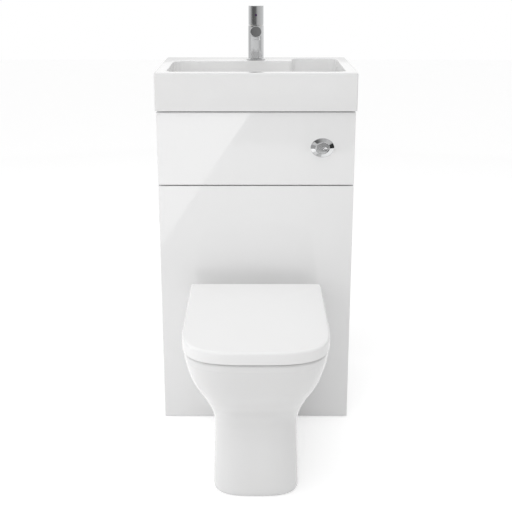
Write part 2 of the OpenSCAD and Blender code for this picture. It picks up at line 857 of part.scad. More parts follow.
module lever_stem() {
    color("silver") difference() {
        box([-stem_half, tap_y - stem_half, pivot_z - stem_half], [stem_half, tap_y + stem_half, stem_top_z]);
        along_x(-stem_half - past, tap_y, pivot_z) cylinder(r = stem_pin_r + fit, h = 2 * stem_half + 2 * past);
    }
}

// The back half of the rim slopes up, so that the handle can lift
module tap_handle() {
    foot_z = tap_joint_z + handle_gap;
    boss_z = tap_top_z - handle_top_t - boss_h;
    color("silver") difference() {
        union() {
            difference() {
                translate([0, tap_y, foot_z]) cylinder(r = tap_r, h = tap_top_z - foot_z);
                translate([0, tap_y, foot_z - past]) cylinder(r = tap_r - handle_wall, h = tap_top_z - handle_top_t - foot_z + past);
            }
            translate([0, tap_y, boss_z]) cylinder(r = boss_r, h = boss_h + past);
        }
        translate([0, tap_y, foot_z]) rotate([lift_angle, 0, 0])
            box([-tap_r - past, 0, -tap_r], [tap_r + past, 2 * tap_r, 0]);
        box([-stem_half - fit, tap_y - stem_half - fit, boss_z - past],
            [stem_half + fit, tap_y + stem_half + fit, boss_z + socket_depth]);
        along_y(0, tap_y - tap_r - past, dot_z) cylinder(r = dot_r + fit, h = 3);
    }
}

module handle_dot() {
    color("purple") along_y(0, tap_y - tap_r + 0.2, dot_z) cylinder(r = dot_r, h = 1.6);
}

module tap_stud() {
    color("silver") translate([0, tap_y, ledge_under_z - 34]) cylinder(r = tap_stud_r, h = 60);
}

module tap_clamp() {
    color("silver") {
        difference() {
            translate([0, tap_y, ledge_under_z - clamp_t]) cylinder(r = clamp_r, h = clamp_t);
            translate([0, tap_y, ledge_under_z - clamp_t - past]) cylinder(r = tap_stud_r + fit, h = clamp_t + 2 * past);
            translate([0, tap_y + 15, ledge_under_z - clamp_t - past]) cylinder(r = 8, h = clamp_t + 2 * past);
        }
        translate([0, tap_y, ledge_under_z - clamp_t - 8 - fit]) difference() {
            cylinder(r = 8, h = 8, $fn = 6);
            translate([0, 0, -past]) cylinder(r = tap_stud_r + fit, h = 8 + 2 * past);
        }
    }
}

module cistern_tank() {
    color("white") difference() {
        box([-cistern_w / 2, cistern_back_y - cistern_d, shelf_z], [cistern_w / 2, cistern_back_y, cistern_top_z]);
        box([-cistern_w / 2 + cistern_wall, cistern_back_y - cistern_d + cistern_wall, shelf_z + cistern_wall],
            [cistern_w / 2 - cistern_wall, cistern_back_y - cistern_wall, cistern_top_z + past]);
        translate([0, cistern_y, shelf_z - past]) cylinder(r = tail_r + fit, h = cistern_wall + 2 * past);
        translate([fill_x, cistern_y, shelf_z - past]) cylinder(r = fill_tail_r + fit, h = cistern_wall + 2 * past);
    }
}

module cistern_lid() {
    color("white") difference() {
        union() {
            box([-cistern_w / 2, cistern_back_y - cistern_d, cistern_top_z],
                [cistern_w / 2, cistern_back_y, cistern_top_z + cistern_lid_t]);
            box([-cistern_w / 2 + cistern_wall + clear, cistern_back_y - cistern_d + cistern_wall + clear, cistern_top_z - 6],
                [cistern_w / 2 - cistern_wall - clear, cistern_back_y - cistern_wall - clear, cistern_top_z + past]);
        }
        box([-cistern_w / 2 + 10, cistern_back_y - cistern_d + 10, cistern_top_z - 7],
            [cistern_w / 2 - 10, cistern_back_y - 10, cistern_top_z + 3]);
        translate([cable_x, cistern_y, cistern_top_z - past]) cylinder(r = cable_r + clear, h = cistern_lid_t + 2 * past);
    }
}

// Its threaded tail takes the water supply from below
module fill_valve() {
    floor_z = shelf_z + cistern_wall;
    color("whitesmoke") translate([fill_x, cistern_y, 0]) {
        translate([0, 0, shelf_z - fill_tail_len]) cylinder(r = fill_tail_r, h = fill_tail_len + cistern_wall + past);
        translate([0, 0, shelf_z - fill_nut_h]) cylinder(r = fill_nut_r, h = fill_nut_h, $fn = 6);
        translate([0, 0, floor_z]) cylinder(r = fill_nut_r, h = fill_nut_h);
        translate([0, 0, floor_z]) cylinder(r = fill_tube_r, h = fill_z - floor_z);
        translate([0, 0, fill_z - fill_head_h / 2]) cylinder(r = fill_head_r, h = fill_head_h);
    }
}

module fill_float() {
    color("dodgerblue") translate([fill_x, cistern_y, float_z]) difference() {
        tube(float_r, fill_tube_r + fit, float_h);
        translate([0, 0, -past]) tube(float_r - 3, fill_tube_r + 3, float_h - 4 + past);
    }
}

module flush_valve() {
    seat_z = shelf_z + cistern_wall;
    basket_z = seat_z + seat_flange_t;
    color("whitesmoke") translate([0, cistern_y, 0]) {
        translate([0, 0, seat_z]) tube(seat_flange_r, flush_pipe_r + fit, seat_flange_t);
        translate([0, 0, seat_z - tail_len]) tube(tail_r, flush_pipe_r + fit, tail_len + past);
        // Open basket round the valve's seat
        for (a = [45 : 90 : 315]) rotate(a) translate([basket_r - 4, -5, basket_z - past]) cube([4, 10, basket_h]);
        translate([0, 0, basket_z + basket_h - 6]) tube(basket_r, column_bore_r, 6);
        translate([0, 0, basket_z + basket_h - past]) tube(column_r, column_bore_r, column_h);
        // Bridge that carries the end of the cable
        translate([0, 0, basket_z + basket_h + column_h - bridge_t - past]) difference() {
            box([0, -10, 0], [cable_x + 12, 10, bridge_t]);
            translate([0, 0, -past]) cylinder(r = column_r - past, h = bridge_t + 2 * past);
            translate([cable_x, 0, -past]) cylinder(r = cable_r + fit, h = bridge_t + 2 * past);
        }
    }
}

module lift_tube() {
    disc_z = shelf_z + cistern_wall + seat_flange_t;
    color("dodgerblue") translate([0, cistern_y, disc_z]) {
        tube(lift_r, lift_r - lift_wall, lift_len);
        tube(flush_pipe_r + 6, lift_r - lift_wall, lift_disc_t);
    }
}

module half_flush_slider() {
    color("orange") translate([0, cistern_y, slider_z]) tube(slider_r, column_r + fit, slider_h);
}

module outlet_nut() {
    color("whitesmoke") translate([0, cistern_y, shelf_z - outlet_nut_h]) difference() {
        cylinder(r = outlet_nut_r, h = outlet_nut_h, $fn = 6);
        translate([0, 0, -past]) cylinder(r = tail_r + fit, h = outlet_nut_h + 2 * past);
    }
}

module flush_pipe_run(r, grow) {
    top_z = shelf_z;
    translate([0, cistern_y, inlet_z + flush_bend]) cylinder(r = r, h = top_z - inlet_z - flush_bend + grow);
    translate([0, cistern_y - flush_bend, inlet_z + flush_bend]) rotate([90, 0, 90])
        rotate_extrude(angle = -90) translate([flush_bend, 0]) circle(r = r);
    along_y(0, flush_end_y - grow, inlet_z) cylinder(r = r, h = cistern_y - flush_bend - flush_end_y + grow);
}

module flush_pipe() {
    color("whitesmoke") difference() {
        flush_pipe_run(flush_pipe_r, 0);
        flush_pipe_run(flush_pipe_r - flush_wall, past);
    }
}

module flush_seal() {
    color("dimgray") {
        along_y(0, flush_end_y + 2, inlet_z) tube(inlet_r - fit, flush_pipe_r + fit, front_y - flush_end_y - 2);
        along_y(0, front_y, inlet_z) tube(inlet_r + 5, flush_pipe_r + fit, seal_lip);
    }
}

function unit(v) = v / norm(v);

// Tube of eight sides along a list of points
module sweep(path, r, sides) {
    last = len(path) - 1;
    rings = [for (i = [0 : last])
        let (
            t = unit(path[min(i + 1, last)] - path[max(i - 1, 0)]),
            u = unit(cross(t, [1, 0.2, 0])), v = cross(t, u)
        )
        [for (k = [0 : sides - 1]) let (a = 360 * k / sides) path[i] + r * (cos(a) * u + sin(a) * v)]];
    loft(rings);
}

module flush_cable() {
    color("dimgray") sweep(curve_rows(CABLE_ROUTE, 5), cable_r, 8);
}

// Points of the button's oval, by its half width
function button_outline(r) =
    [for (i = [0 : 71]) let (a = 5 * i) [r * cos(a), r * button_oval * sin(a)]];

module flush_bezel() {
    color("silver") along_y(button_mid, front_y - bezel_h, button_z) difference() {
        union() {
            loft([
                at_height(button_outline(bezel_face_r), 0), at_height(button_outline(bezel_r - bezel_lip), bezel_h - bezel_lip),
                at_height(button_outline(bezel_r), bezel_h)
            ]);
            translate([0, 0, bezel_h - past]) cylinder(r = sleeve_r, h = past + panel_t + sleeve_back);
        }
        loft([for (z = [-past, bezel_h + past]) at_height(button_outline(full_r + opening_gap), z)]);
        translate([0, 0, bezel_h]) cylinder(r = sleeve_r - sleeve_wall, h = panel_t + sleeve_back + past);
    }
    // Guide plate inside the sleeve
    color("silver") along_y(button_mid, sleeve_end_y - guide_t - guide_back, button_z) difference() {
        cylinder(r = sleeve_r - sleeve_wall + clear, h = guide_t);
        translate([full_shift, 0, -past]) cylinder(r = button_stem_r + fit, h = guide_t + 2 * past);
        translate([half_shift, half_drop, -past]) cylinder(r = button_stem_r + fit, h = guide_t + 2 * past);
    }
}

module bezel_nut() {
    color("whitesmoke") along_y(button_mid, carcass_y, button_z) difference() {
        cylinder(r = bezel_nut_r, h = bezel_nut_h, $fn = 6);
        translate([0, 0, -past]) cylinder(r = sleeve_r + fit, h = bezel_nut_h + 2 * past);
    }
}

module full_button() {
    stem_end = sleeve_end_y - guide_back + past;
    color("silver") {
        along_y(button_mid, front_y - bezel_h + button_sink, button_z) difference() {
            loft([for (z = [0, button_t]) at_height(button_outline(full_r), z)]);
            translate([half_shift, half_drop, -past]) cylinder(r = half_r + button_gap, h = button_t + 2 * past);
        }
        along_y(button_mid + full_shift, front_y - bezel_h + button_t, button_z)
            cylinder(r = button_stem_r, h = stem_end - front_y + bezel_h - button_t);
    }
}

module half_button() {
    stem_end = sleeve_end_y - guide_back + past;
    color("silver") {
        along_y(button_mid + half_shift, front_y - bezel_h + button_sink, button_z - half_drop) cylinder(r = half_r, h = button_t);
        along_y(button_mid + half_shift, front_y - bezel_h + button_t, button_z - half_drop)
            cylinder(r = button_stem_r, h = stem_end - front_y + bezel_h - button_t);
    }
}

module cable_housing() {
    color("dimgray") along_y(button_mid, sleeve_end_y, button_z) {
        difference() {
            cylinder(r = housing_r + 3, h = housing_len);
            translate([0, 0, -past]) cylinder(r = housing_r - 2, h = housing_len - 4 + past);
            cylinder(r = cable_r + clear, h = housing_len + past);
        }
    }
}

function pan_row(profile) = [
    profile[0] * pan_rim_z, lerp(neck_half_w, pan_half_w, profile[1]), lerp(neck_reach, rim_reach, profile[2]),
    lerp(neck_bow, rim_bow, profile[1]), lerp(neck_power, rim_power, profile[1])
];

// Outline of the pan at one row of its profile, drawn in by inset
function pan_outline(row, inset, back, z) =
    at_height(d_outline(row[1] - inset, front_y - row[2] + inset, back, row[3], row[4], 4), z);

PAN_ROWS = curve_rows([for (profile = PAN_PROFILE) pan_row(profile)], between_steps);
pan_last = PAN_ROWS[len(PAN_ROWS) - 1];
foot_half_w = lookup(foot_screw_z, [for (row = PAN_ROWS) [row[0], row[1]]]);

module pan_outside() {
    first = PAN_ROWS[0];
    foot = [for (i = [0 : edge_steps - 1]) let (a = 90 * i / edge_steps)
        pan_outline(first, pan_edge_r * (1 - sin(a)), front_y, first[0] * (1 - cos(a)))];
    body = [for (row = PAN_ROWS) pan_outline(row, 0, front_y, row[0])];
    rim = [for (i = [0 : edge_steps]) let (a = 90 * i / edge_steps)
        pan_outline(pan_last, pan_edge_r * (1 - cos(a)), front_y, pan_rim_z - pan_edge_r * (1 - sin(a)))];
    loft(concat(foot, body, rim));
}

// Space under the pan, open to the floor and to the back
module pan_inside() {
    rows = [for (row = PAN_ROWS) if (row[0] < pan_rim_z - pan_deck_t - 6) row];
    last = rows[len(rows) - 1];
    loft(concat(
        [pan_outline(PAN_ROWS[0], pan_wall, front_y + 5, -past)],
        [for (row = rows) pan_outline(row, pan_wall, front_y + 5, row[0])],
        [pan_outline(last, pan_wall, front_y + 5, pan_rim_z - pan_deck_t)]
    ));
}

// Bowl of the pan, grown by the wall for its outside
module pan_bowl(grow) {
    rows = curve_rows(BOWL_PROFILE, 2);
    rings = [for (row = rows) let (s = row[1])
        at_height(d_outline(
            lerp(sump_half_w, bowl_half_w, s) + grow,
            front_y - lerp(sump_front, bowl_front, s) - grow,
            front_y - lerp(sump_back, bowl_back, s) + grow,
            lerp(sump_half_w, bowl_bow, s) + grow, bowl_power, lerp(sump_half_w - 4, bowl_half_w * 0.7, s) + grow),
            row[0] * pan_rim_z)];
    last = len(rings) - 1;
    loft(concat(rings, [[for (p = rings[last]) [p[0], p[1], pan_rim_z + past]]]));
    translate([0, front_y - (sump_front + sump_back) / 2, sump_z + 6]) sphere(r = sump_half_w + 1 + grow);
}

// Waterway from the sump over the weir to the outlet
module trapway(r) {
    last = len(trapway_z) - 1;
    for (i = [0 : last]) translate([0, front_y - trapway_reach[i], trapway_z[i]]) sphere(r = r + 0.5);
    for (i = [0 : last - 1])
        let (
            dy = trapway_reach[i] - trapway_reach[i + 1], dz = trapway_z[i + 1] - trapway_z[i]
        )
        translate([0, front_y - trapway_reach[i], trapway_z[i]]) rotate([-atan2(dy, dz), 0, 0])
            cylinder(r = r, h = norm([dy, dz]));
}

module pan() {
    spigot_root = trapway_reach[3];
    color("white") difference() {
        union() {
            difference() {
                pan_outside();
                difference() {
                    pan_inside();
                    pan_bowl(pan_wall);
                    trapway(trapway_r + pan_wall);
                    along_y(0, front_y - bowl_back - 10, inlet_z) cylinder(r = inlet_r + 9, h = bowl_back + 20);
                }
            }
            along_y(0, front_y - spigot_root, outlet_z) cylinder(r = spigot_r, h = spigot_root + spigot_len);
        }
        pan_bowl(0);
        trapway(trapway_r);
        along_y(0, front_y - spigot_root - 4, outlet_z) cylinder(r = spigot_bore_r, h = spigot_root + spigot_len + 10);
        along_y(0, front_y - inlet_depth, inlet_z) cylinder(r = inlet_r, h = inlet_depth + 20);
        along_y(0, front_y - bowl_back - 20, inlet_z) cylinder(r = 14, h = bowl_back);
        for (x = [-hinge_pitch / 2, hinge_pitch / 2])
            translate([x, hinge_y, pan_rim_z - pan_deck_t - past]) cylinder(r = deck_hole_r, h = pan_deck_t + 2 * past);
        along_x(-foot_half_w - 10, front_y - foot_bracket_reach, foot_screw_z)
            cylinder(r = foot_screw_r + 0.5, h = 2 * foot_half_w + 20);
    }
}

// Angle brackets that stand on the floor inside the foot
module floor_brackets() {
    side_x = foot_half_w - pan_wall - 2;
    color("silver") both_sides() difference() {
        translate([0, front_y - foot_bracket_reach - foot_bracket_l / 2, 0]) union() {
            box([side_x - foot_bracket_t, 0, 0], [side_x, foot_bracket_l, foot_bracket_h]);
            box([side_x - foot_bracket_w, 0, 0], [side_x, foot_bracket_l, foot_bracket_t]);
        }
        translate([side_x - foot_bracket_w / 2 - 2, front_y - foot_bracket_reach, -past])
            cylinder(r = 4, h = foot_bracket_t + 2 * past);
        along_x(side_x - foot_bracket_t - past, front_y - foot_bracket_reach, foot_screw_z)
            cylinder(r = foot_screw_r + fit, h = foot_bracket_t + 2 * past);
    }
}

module side_screws() {
    side_x = foot_half_w - pan_wall - 2;
    color("silver") both_sides() {
        along_x(side_x - foot_bracket_t - 6, front_y - foot_bracket_reach, foot_screw_z)
            cylinder(r = foot_screw_r, h = foot_half_w - side_x + foot_bracket_t + 6);
        along_x(foot_half_w + cap_gap, front_y - foot_bracket_reach, foot_screw_z)
            cylinder(r1 = cap_r, r2 = cap_r - 1.5, h = cap_h);
    }
}

module seat_ring() {
    hole_half = ring_half_w - ring_w;
    hole_front = front_y - ring_reach + ring_w;
    hole_back = front_y - ring_back - ring_back_w;
    top = ring_bottom + ring_h;
    color("white") {
        difference() {
            loft(concat(
                [at_height(d_outline(ring_half_w, front_y - ring_reach, front_y - ring_back, lid_bow, lid_power, 8), ring_bottom)],
                [for (i = [0 : edge_steps]) let (a = 90 * i / edge_steps, c = ring_edge_r * (1 - cos(a)))
                    at_height(d_outline(ring_half_w - c, front_y - ring_reach + c, front_y - ring_back - c, lid_bow, lid_power, 8),
                        top - ring_edge_r * (1 - sin(a)))]
            ));
            loft(concat(
                [at_height(d_outline(hole_half, hole_front, hole_back, bowl_bow, bowl_power, hole_half * 0.7), ring_bottom - past)],
                [for (i = [0 : edge_steps]) let (a = 90 * i / edge_steps, c = 8 * (1 - cos(a)))
                    at_height(d_outline(hole_half + c, hole_front - c, hole_back + c, bowl_bow, bowl_power, hole_half * 0.7),
                        top - 8 * (1 - sin(a)))],
                [at_height(d_outline(hole_half + 8, hole_front - 8, hole_back + 8, bowl_bow, bowl_power, hole_half * 0.7), top + past)]
            ));
        }
        both_sides() hinge_ear(hinge_pitch / 2 + post_half + ear_gap, front_y - ring_back - 3, ring_bottom + 3);
    }
}

// Barrel round the hinge pin, with an arm that joins it to the seat
module hinge_ear(x, arm_y, arm_z) {
    difference() {
        union() {
            along_x(x, hinge_y, hinge_z) cylinder(r = barrel_r, h = ear_w);
            box([x, arm_y, arm_z], [x + ear_w, hinge_y, hinge_z]);
        }
        along_x(x - past, hinge_y, hinge_z) cylinder(r = pin_r + fit, h = ear_w + 2 * past);
    }
}

module ring_bumpers() {
    color("whitesmoke") for (spot = [[0.8, 0.35], [0.8, 0.75]])
        both_sides() translate([ring_half_w * spot[0] + 2, front_y - ring_reach * spot[1], pan_rim_z + 0.2])
            cylinder(r = bumper_r, h = ring_bottom - pan_rim_z - 0.2);
}

module seat_lid() {
    lid_front = front_y - seat_reach;
    lid_back_y = front_y - lid_back;
    cavity_top = lid_top - lid_t;
    color("white") {
        difference() {
            loft(concat(
                [at_height(d_outline(lid_half_w, lid_front, lid_back_y, lid_bow, lid_power, 6), lid_bottom)],
                [for (i = [0 : edge_steps]) let (a = 90 * i / edge_steps, c = lid_edge_r * (1 - cos(a)))
                    at_height(d_outline(lid_half_w - c, lid_front + c, lid_back_y - c / 2, lid_bow, lid_power, 6),
                        lid_top - lid_edge_r * (1 - sin(a)))]
            ));
            loft([for (z = [lid_bottom - past, cavity_top])
                at_height(d_outline(lid_half_w - lid_skirt, lid_front + lid_skirt, lid_back_y + 4, lid_bow, lid_power, 2), z)]);
            // Relief behind the hinge line, so that the open lid clears the pan
            box([-lid_half_w - past, hinge_y - 2, lid_bottom - past], [lid_half_w + past, lid_back_y + past, hinge_z - 3]);
        }
        both_sides() difference() {
            x = hinge_pitch / 2 - post_half - ear_gap - ear_w;
            union() {
                along_x(x, hinge_y, hinge_z) cylinder(r = barrel_r, h = ear_w);
                box([x, hinge_y - 6, hinge_z], [x + ear_w, hinge_y + 6, cavity_top + 1]);
            }
            along_x(x - past, hinge_y, hinge_z) cylinder(r = pin_r + fit, h = ear_w + 2 * past);
        }
        // Pads that rest on the ring
        both_sides() translate([ring_half_w * 0.8, front_y - ring_reach * 0.78, ring_bottom + ring_h + 0.3])
            cylinder(r = bumper_r - 2, h = cavity_top - ring_bottom - ring_h + 0.5);
    }
}

module hinge_posts() {
    color("silver") both_sides() translate([hinge_pitch / 2, hinge_y, 0]) {
        along_x(-post_half, 0, hinge_z) cylinder(r = post_r, h = 2 * post_half);
        along_x(-post_half - ear_gap - ear_w, 0, hinge_z) cylinder(r = pin_r, h = 2 * (post_half + ear_gap + ear_w));
        translate([0, 0, pan_rim_z]) cylinder(r = post_r - 0.5, h = hinge_z - pan_rim_z);
        translate([0, 0, pan_rim_z]) cylinder(r = post_flange_r, h = post_flange_t);
        translate([0, 0, pan_rim_z - post_stud_len]) cylinder(r = post_stud_r, h = post_stud_len);
    }
}

module wing_nuts() {
    nut_z = pan_rim_z - pan_deck_t - 12;
    color("whitesmoke") both_sides() translate([hinge_pitch / 2, hinge_y, nut_z]) difference() {
        union() {
            cylinder(r = 11, h = 12);
            box([-20, -2, 0], [20, 2, 9]);
        }
        translate([0, 0, -past]) cylinder(r = post_stud_r + fit, h = 14);
    }
}

side_panel_left();
side_panel_right();
top_front_rail();
top_back_rail();
middle_rail();
bottom_front_rail();
bottom_back_rail();
cistern_shelf();
wooden_dowels();
upper_panel();
lower_panel();
panel_studs();
wall_brackets();
bracket_screws();
basin();
overflow_ring();
waste_body();
waste_plug();
waste_seal();
waste_nut();
trap_nut();
trap_body();
trap_cup();
waste_pipe();
tap_body();
tap_base_ring();
tap_cartridge();
cartridge_nut();
cartridge_turret();
lever_stem();
tap_handle();
handle_dot();
aerator();
tap_stud();
tap_clamp();
cistern_tank();
cistern_lid();
fill_valve();
fill_float();
flush_valve();
lift_tube();
half_flush_slider();
outlet_nut();
flush_pipe();
flush_seal();
flush_cable();
flush_bezel();
bezel_nut();
full_button();
half_button();
cable_housing();
pan();
floor_brackets();
side_screws();
seat_ring();
ring_bumpers();
seat_lid();
hinge_posts();
wing_nuts();
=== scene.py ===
"""Looks of a toilet and basin combination unit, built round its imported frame. Lengths are in millimetres
until a mesh is made, and in metres after that. The front faces -Y and the wall is behind the unit."""

import json
import math

import bmesh
import bpy
import numpy as np
from mathutils import Matrix, Vector


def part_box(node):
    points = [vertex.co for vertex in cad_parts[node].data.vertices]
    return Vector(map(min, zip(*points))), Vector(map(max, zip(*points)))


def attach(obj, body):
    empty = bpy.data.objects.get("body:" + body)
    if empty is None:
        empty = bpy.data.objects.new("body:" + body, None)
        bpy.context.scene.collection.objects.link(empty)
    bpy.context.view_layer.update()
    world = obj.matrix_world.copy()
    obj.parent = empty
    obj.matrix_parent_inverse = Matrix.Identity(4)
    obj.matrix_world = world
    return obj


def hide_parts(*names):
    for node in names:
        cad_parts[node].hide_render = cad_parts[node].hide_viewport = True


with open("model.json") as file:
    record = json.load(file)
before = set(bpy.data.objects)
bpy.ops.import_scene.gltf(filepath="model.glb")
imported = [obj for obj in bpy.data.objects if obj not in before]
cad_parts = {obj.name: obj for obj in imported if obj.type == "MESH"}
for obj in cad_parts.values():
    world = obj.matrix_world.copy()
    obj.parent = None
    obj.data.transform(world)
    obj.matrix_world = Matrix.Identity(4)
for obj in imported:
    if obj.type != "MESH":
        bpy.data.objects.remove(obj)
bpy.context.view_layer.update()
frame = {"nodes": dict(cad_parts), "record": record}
RECORD = frame["record"]
SLOT_OF = {part["node"]: part["material_slot"] for part in RECORD["subparts"]}
BODY_OF = {node: body for body, nodes in RECORD["behaviour"]["bodies"].items() for node in nodes}
SCENE = bpy.context.scene
MM = 0.001
X, Y, Z = 0, 1, 2


def low(name, axis):
    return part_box(name)[0][axis] / MM


def high(name, axis):
    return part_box(name)[1][axis] / MM


def middle(name, axis):
    return (low(name, axis) + high(name, axis)) / 2


# Places that the CAD nodes give
WALL_Y = high("side_panel_left", Y)
FRONT_Y = low("lower_panel", Y)
CARCASS_Y = high("lower_panel", Y)
CARCASS_TOP = high("side_panel_left", Z)
BASIN_TOP = high("basin", Z)
BASIN_X = high("basin", X)
BASIN_FRONT = low("basin", Y)
RIM_Z = high("pan", Z)
TAP_Y = middle("tap_base_ring", Y)
TAP_TOP = high("tap_handle", Z)
TAP_JOINT = low("tap_handle", Z) - 1
BUTTON_X = middle("flush_bezel", X)
BUTTON_Z = middle("flush_bezel", Z)
WASTE_Y = middle("waste_body", Y)
WASTE_END = low("waste_body", Z)
CISTERN_Y = middle("cistern_tank", Y)
INLET_Z = middle("flush_seal", Z)
OUTLET_Z = 185

# Radius of a close hole for the rods of 4 mm radius
ROD_HOLE = 4.05

# Shader groups: each is built once and placed in the materials that need it

WHITE = (1, 1, 1, 1)
INPUT_KIND = {3: "NodeSocketVector", 4: "NodeSocketColor"}
OUTPUT_KIND = {"Color": "NodeSocketColor", "Normal": "NodeSocketVector"}


def spaced(label):
    return label.replace("_", " ")


def node(tree, kind, links=(), **settings):
    """A node whose sockets take other nodes' outputs or plain values."""
    made = tree.nodes.new(kind)
    for key, value in settings.items():
        setattr(made, key, value)
    for socket, source in links:
        if hasattr(source, "is_output"):
            tree.links.new(source, made.inputs[socket])
        else:
            made.inputs[socket].default_value = source
    return made


def maths(tree, operation, first, second):
    return node(tree, "ShaderNodeMath", [(0, first), (1, second)], operation=operation).outputs[0]


def blend(tree, share, first, second):
    sockets = [(0, share), (6, first), (7, second)]
    return node(tree, "ShaderNodeMix", sockets, data_type="RGBA").outputs[2]


def blend_numbers(tree, share, first, second):
    sockets = [(0, share), (2, first), (3, second)]
    return node(tree, "ShaderNodeMix", sockets, data_type="FLOAT").outputs[0]


def spread(tree, value, from_min, from_max, to_min=0.0, to_max=1.0):
    sockets = [("Value", value), ("From Min", from_min), ("From Max", from_max), ("To Min", to_min),
               ("To Max", to_max)]
    return node(tree, "ShaderNodeMapRange", sockets).outputs["Result"]


def noise(tree, vector, scale, **settings):
    return node(tree, "ShaderNodeTexNoise",
                [("Vector", vector), ("Scale", scale), *settings.items()]).outputs["Fac"]


def shader_group(fill, **inputs):
    """A group named after the function that fills it, with named inputs and their usual values."""
    tree = bpy.data.node_groups.new(fill.__name__, "ShaderNodeTree")
    tree.interface.new_socket("Vector", in_out="INPUT", socket_type="NodeSocketVector")
    for label, value in inputs.items():
        kind = "NodeSocketFloat" if isinstance(value, float) else INPUT_KIND[len(value)]
        tree.interface.new_socket(spaced(label), in_out="INPUT", socket_type=kind).default_value = value
    sources = fill(tree, tree.nodes.new("NodeGroupInput").outputs)
    for label in sources:
        tree.interface.new_socket(label, in_out="OUTPUT",
                                  socket_type=OUTPUT_KIND.get(label, "NodeSocketFloat"))
    out = tree.nodes.new("NodeGroupOutput").inputs
    for label, source in sources.items():
        tree.links.new(source, out[label])
    return tree


def tone_drift(tree, given):
    """Slow drift between two tones, with the roughness drifting too."""
    drift = noise(tree, given["Vector"], given["Scale"], Detail=3.0, Roughness=0.55)
    return {"Color": blend(tree, spread(tree, drift, 0.3, 0.7), given["Light"], given["Dark"]),
            "Roughness": spread(tree, drift, 0.3, 0.7, given["Smooth"], given["Rough"])}


def fine_relief(tree, given):
    """Fine unevenness of a surface: ripples of one size with grain on top."""
    ripple = noise(tree, given["Vector"], given["Ripple"], Detail=1.0)
    grain = noise(tree, given["Vector"], given["Grain"], Detail=2.0)
    height = blend_numbers(tree, given["Grain share"], ripple, grain)
    sockets = [("Height", height), ("Strength", given["Strength"]), ("Distance", given["Distance"])]
    return {"Normal": node(tree, "ShaderNodeBump", sockets).outputs["Normal"]}


def drawn_streaks(tree, given):
    """Long streaks along one axis, for wood, brushing and drawn metal."""
    drawn = node(tree, "ShaderNodeVectorMath", [(0, given["Vector"]), (1, given["Stretch"])],
                 operation="MULTIPLY")
    streak = noise(tree, drawn.outputs[0], given["Scale"], Detail=4.0, Distortion=0.3)
    mask = spread(tree, streak, 0.35, 0.65)
    return {"Color": blend(tree, mask, given["Light"], given["Dark"]), "Mask": mask}


def flecks(tree, given):
    """Small flecks of two tones, as in pressed chips or zinc spangle."""
    cells = node(tree, "ShaderNodeTexVoronoi", [("Vector", given["Vector"]), ("Scale", given["Scale"])])
    mask = node(tree, "ShaderNodeSeparateColor", [("Color", cells.outputs["Color"])]).outputs["Red"]
    return {"Color": blend(tree, mask, given["Light"], given["Dark"]), "Mask": mask}


TONE = shader_group(tone_drift, Scale=6.0, Light=WHITE, Dark=(0.9, 0.9, 0.9, 1), Smooth=0.05, Rough=0.1)
RELIEF = shader_group(fine_relief, Ripple=60.0, Grain=600.0, Grain_share=0.3, Strength=0.2, Distance=0.0002)
STREAKS = shader_group(drawn_streaks, Stretch=(1, 1, 12), Scale=90.0, Light=WHITE, Dark=(0.8, 0.8, 0.8, 1))
FLECKS = shader_group(flecks, Scale=400.0, Light=WHITE, Dark=(0.7, 0.7, 0.7, 1))


def grey(value, warm=0.0):
    """A near-neutral colour: warm above 0 leans to red, below 0 to blue."""
    return (value * (1 + warm), value, value * (1 - warm), 1)


def new_material(name):
    made = bpy.data.materials.new(name)
    made.use_nodes = True
    return made, made.node_tree


def object_coords(tree):
    return tree.nodes.new("ShaderNodeTexCoord").outputs["Object"]


def start_material(name, sockets):
    """A material, its tree and its shader with plain values, and the object's own coordinates."""
    made, tree = new_material(name)
    shader = tree.nodes["Principled BSDF"]
    for key, value in sockets.items():
        shader.inputs[spaced(key)].default_value = value
    return made, tree, shader, object_coords(tree)


def use_group(tree, group, coords, **values):
    made = tree.nodes.new("ShaderNodeGroup")
    made.node_tree = group
    tree.links.new(coords, made.inputs["Vector"])
    for key, value in values.items():
        made.inputs[spaced(key)].default_value = value
    return made.outputs


def relief(tree, coords, ripple, grain, share, strength, distance):
    values = {"Ripple": ripple, "Grain": grain, "Grain_share": share, "Strength": strength,
              "Distance": distance}
    return use_group(tree, RELIEF, coords, **values)["Normal"]


def feed(tree, shader, color, roughness, normal):
    for key, source in (("Base Color", color), ("Roughness", roughness), ("Normal", normal)):
        tree.links.new(source, shader.inputs[key])


def coated(name, light, dark, tone_scale, smooth, rough, uneven, **sockets):
    """A finish whose tone and roughness drift slowly over a finely uneven surface."""
    made, tree, shader, coords = start_material(name, sockets)
    tone = use_group(tree, TONE, coords, Scale=tone_scale, Light=light, Dark=dark, Smooth=smooth, Rough=rough)
    feed(tree, shader, tone["Color"], tone["Roughness"], relief(tree, coords, *uneven))
    return made


def streaked(name, light, dark, scale, stretch, smooth, rough, **sockets):
    """A finish with long streaks, such as turned wood or drawn metal."""
    made, tree, shader, coords = start_material(name, sockets)
    streaks = use_group(tree, STREAKS, coords, Scale=scale, Stretch=stretch, Light=light, Dark=dark)
    bump = node(tree, "ShaderNodeBump",
                [("Height", streaks["Mask"]), ("Strength", 0.15), ("Distance", 0.0002)])
    feed(tree, shader, streaks["Color"], spread(tree, streaks["Mask"], 0.0, 1.0, smooth, rough),
         bump.outputs["Normal"])
    return made


def spangled(name, light, dark, scale, smooth, rough, **sockets):
    """A finish of small flecks, such as zinc."""
    made, tree, shader, coords = start_material(name, sockets)
    spangle = use_group(tree, FLECKS, coords, Scale=scale, Light=light, Dark=dark)
    roughness = spread(tree, spangle["Mask"], 0.0, 1.0, smooth, rough)
    feed(tree, shader, spangle["Color"], roughness, relief(tree, coords, 300.0, 1500.0, 0.3, 0.2, 0.0001))
    return made


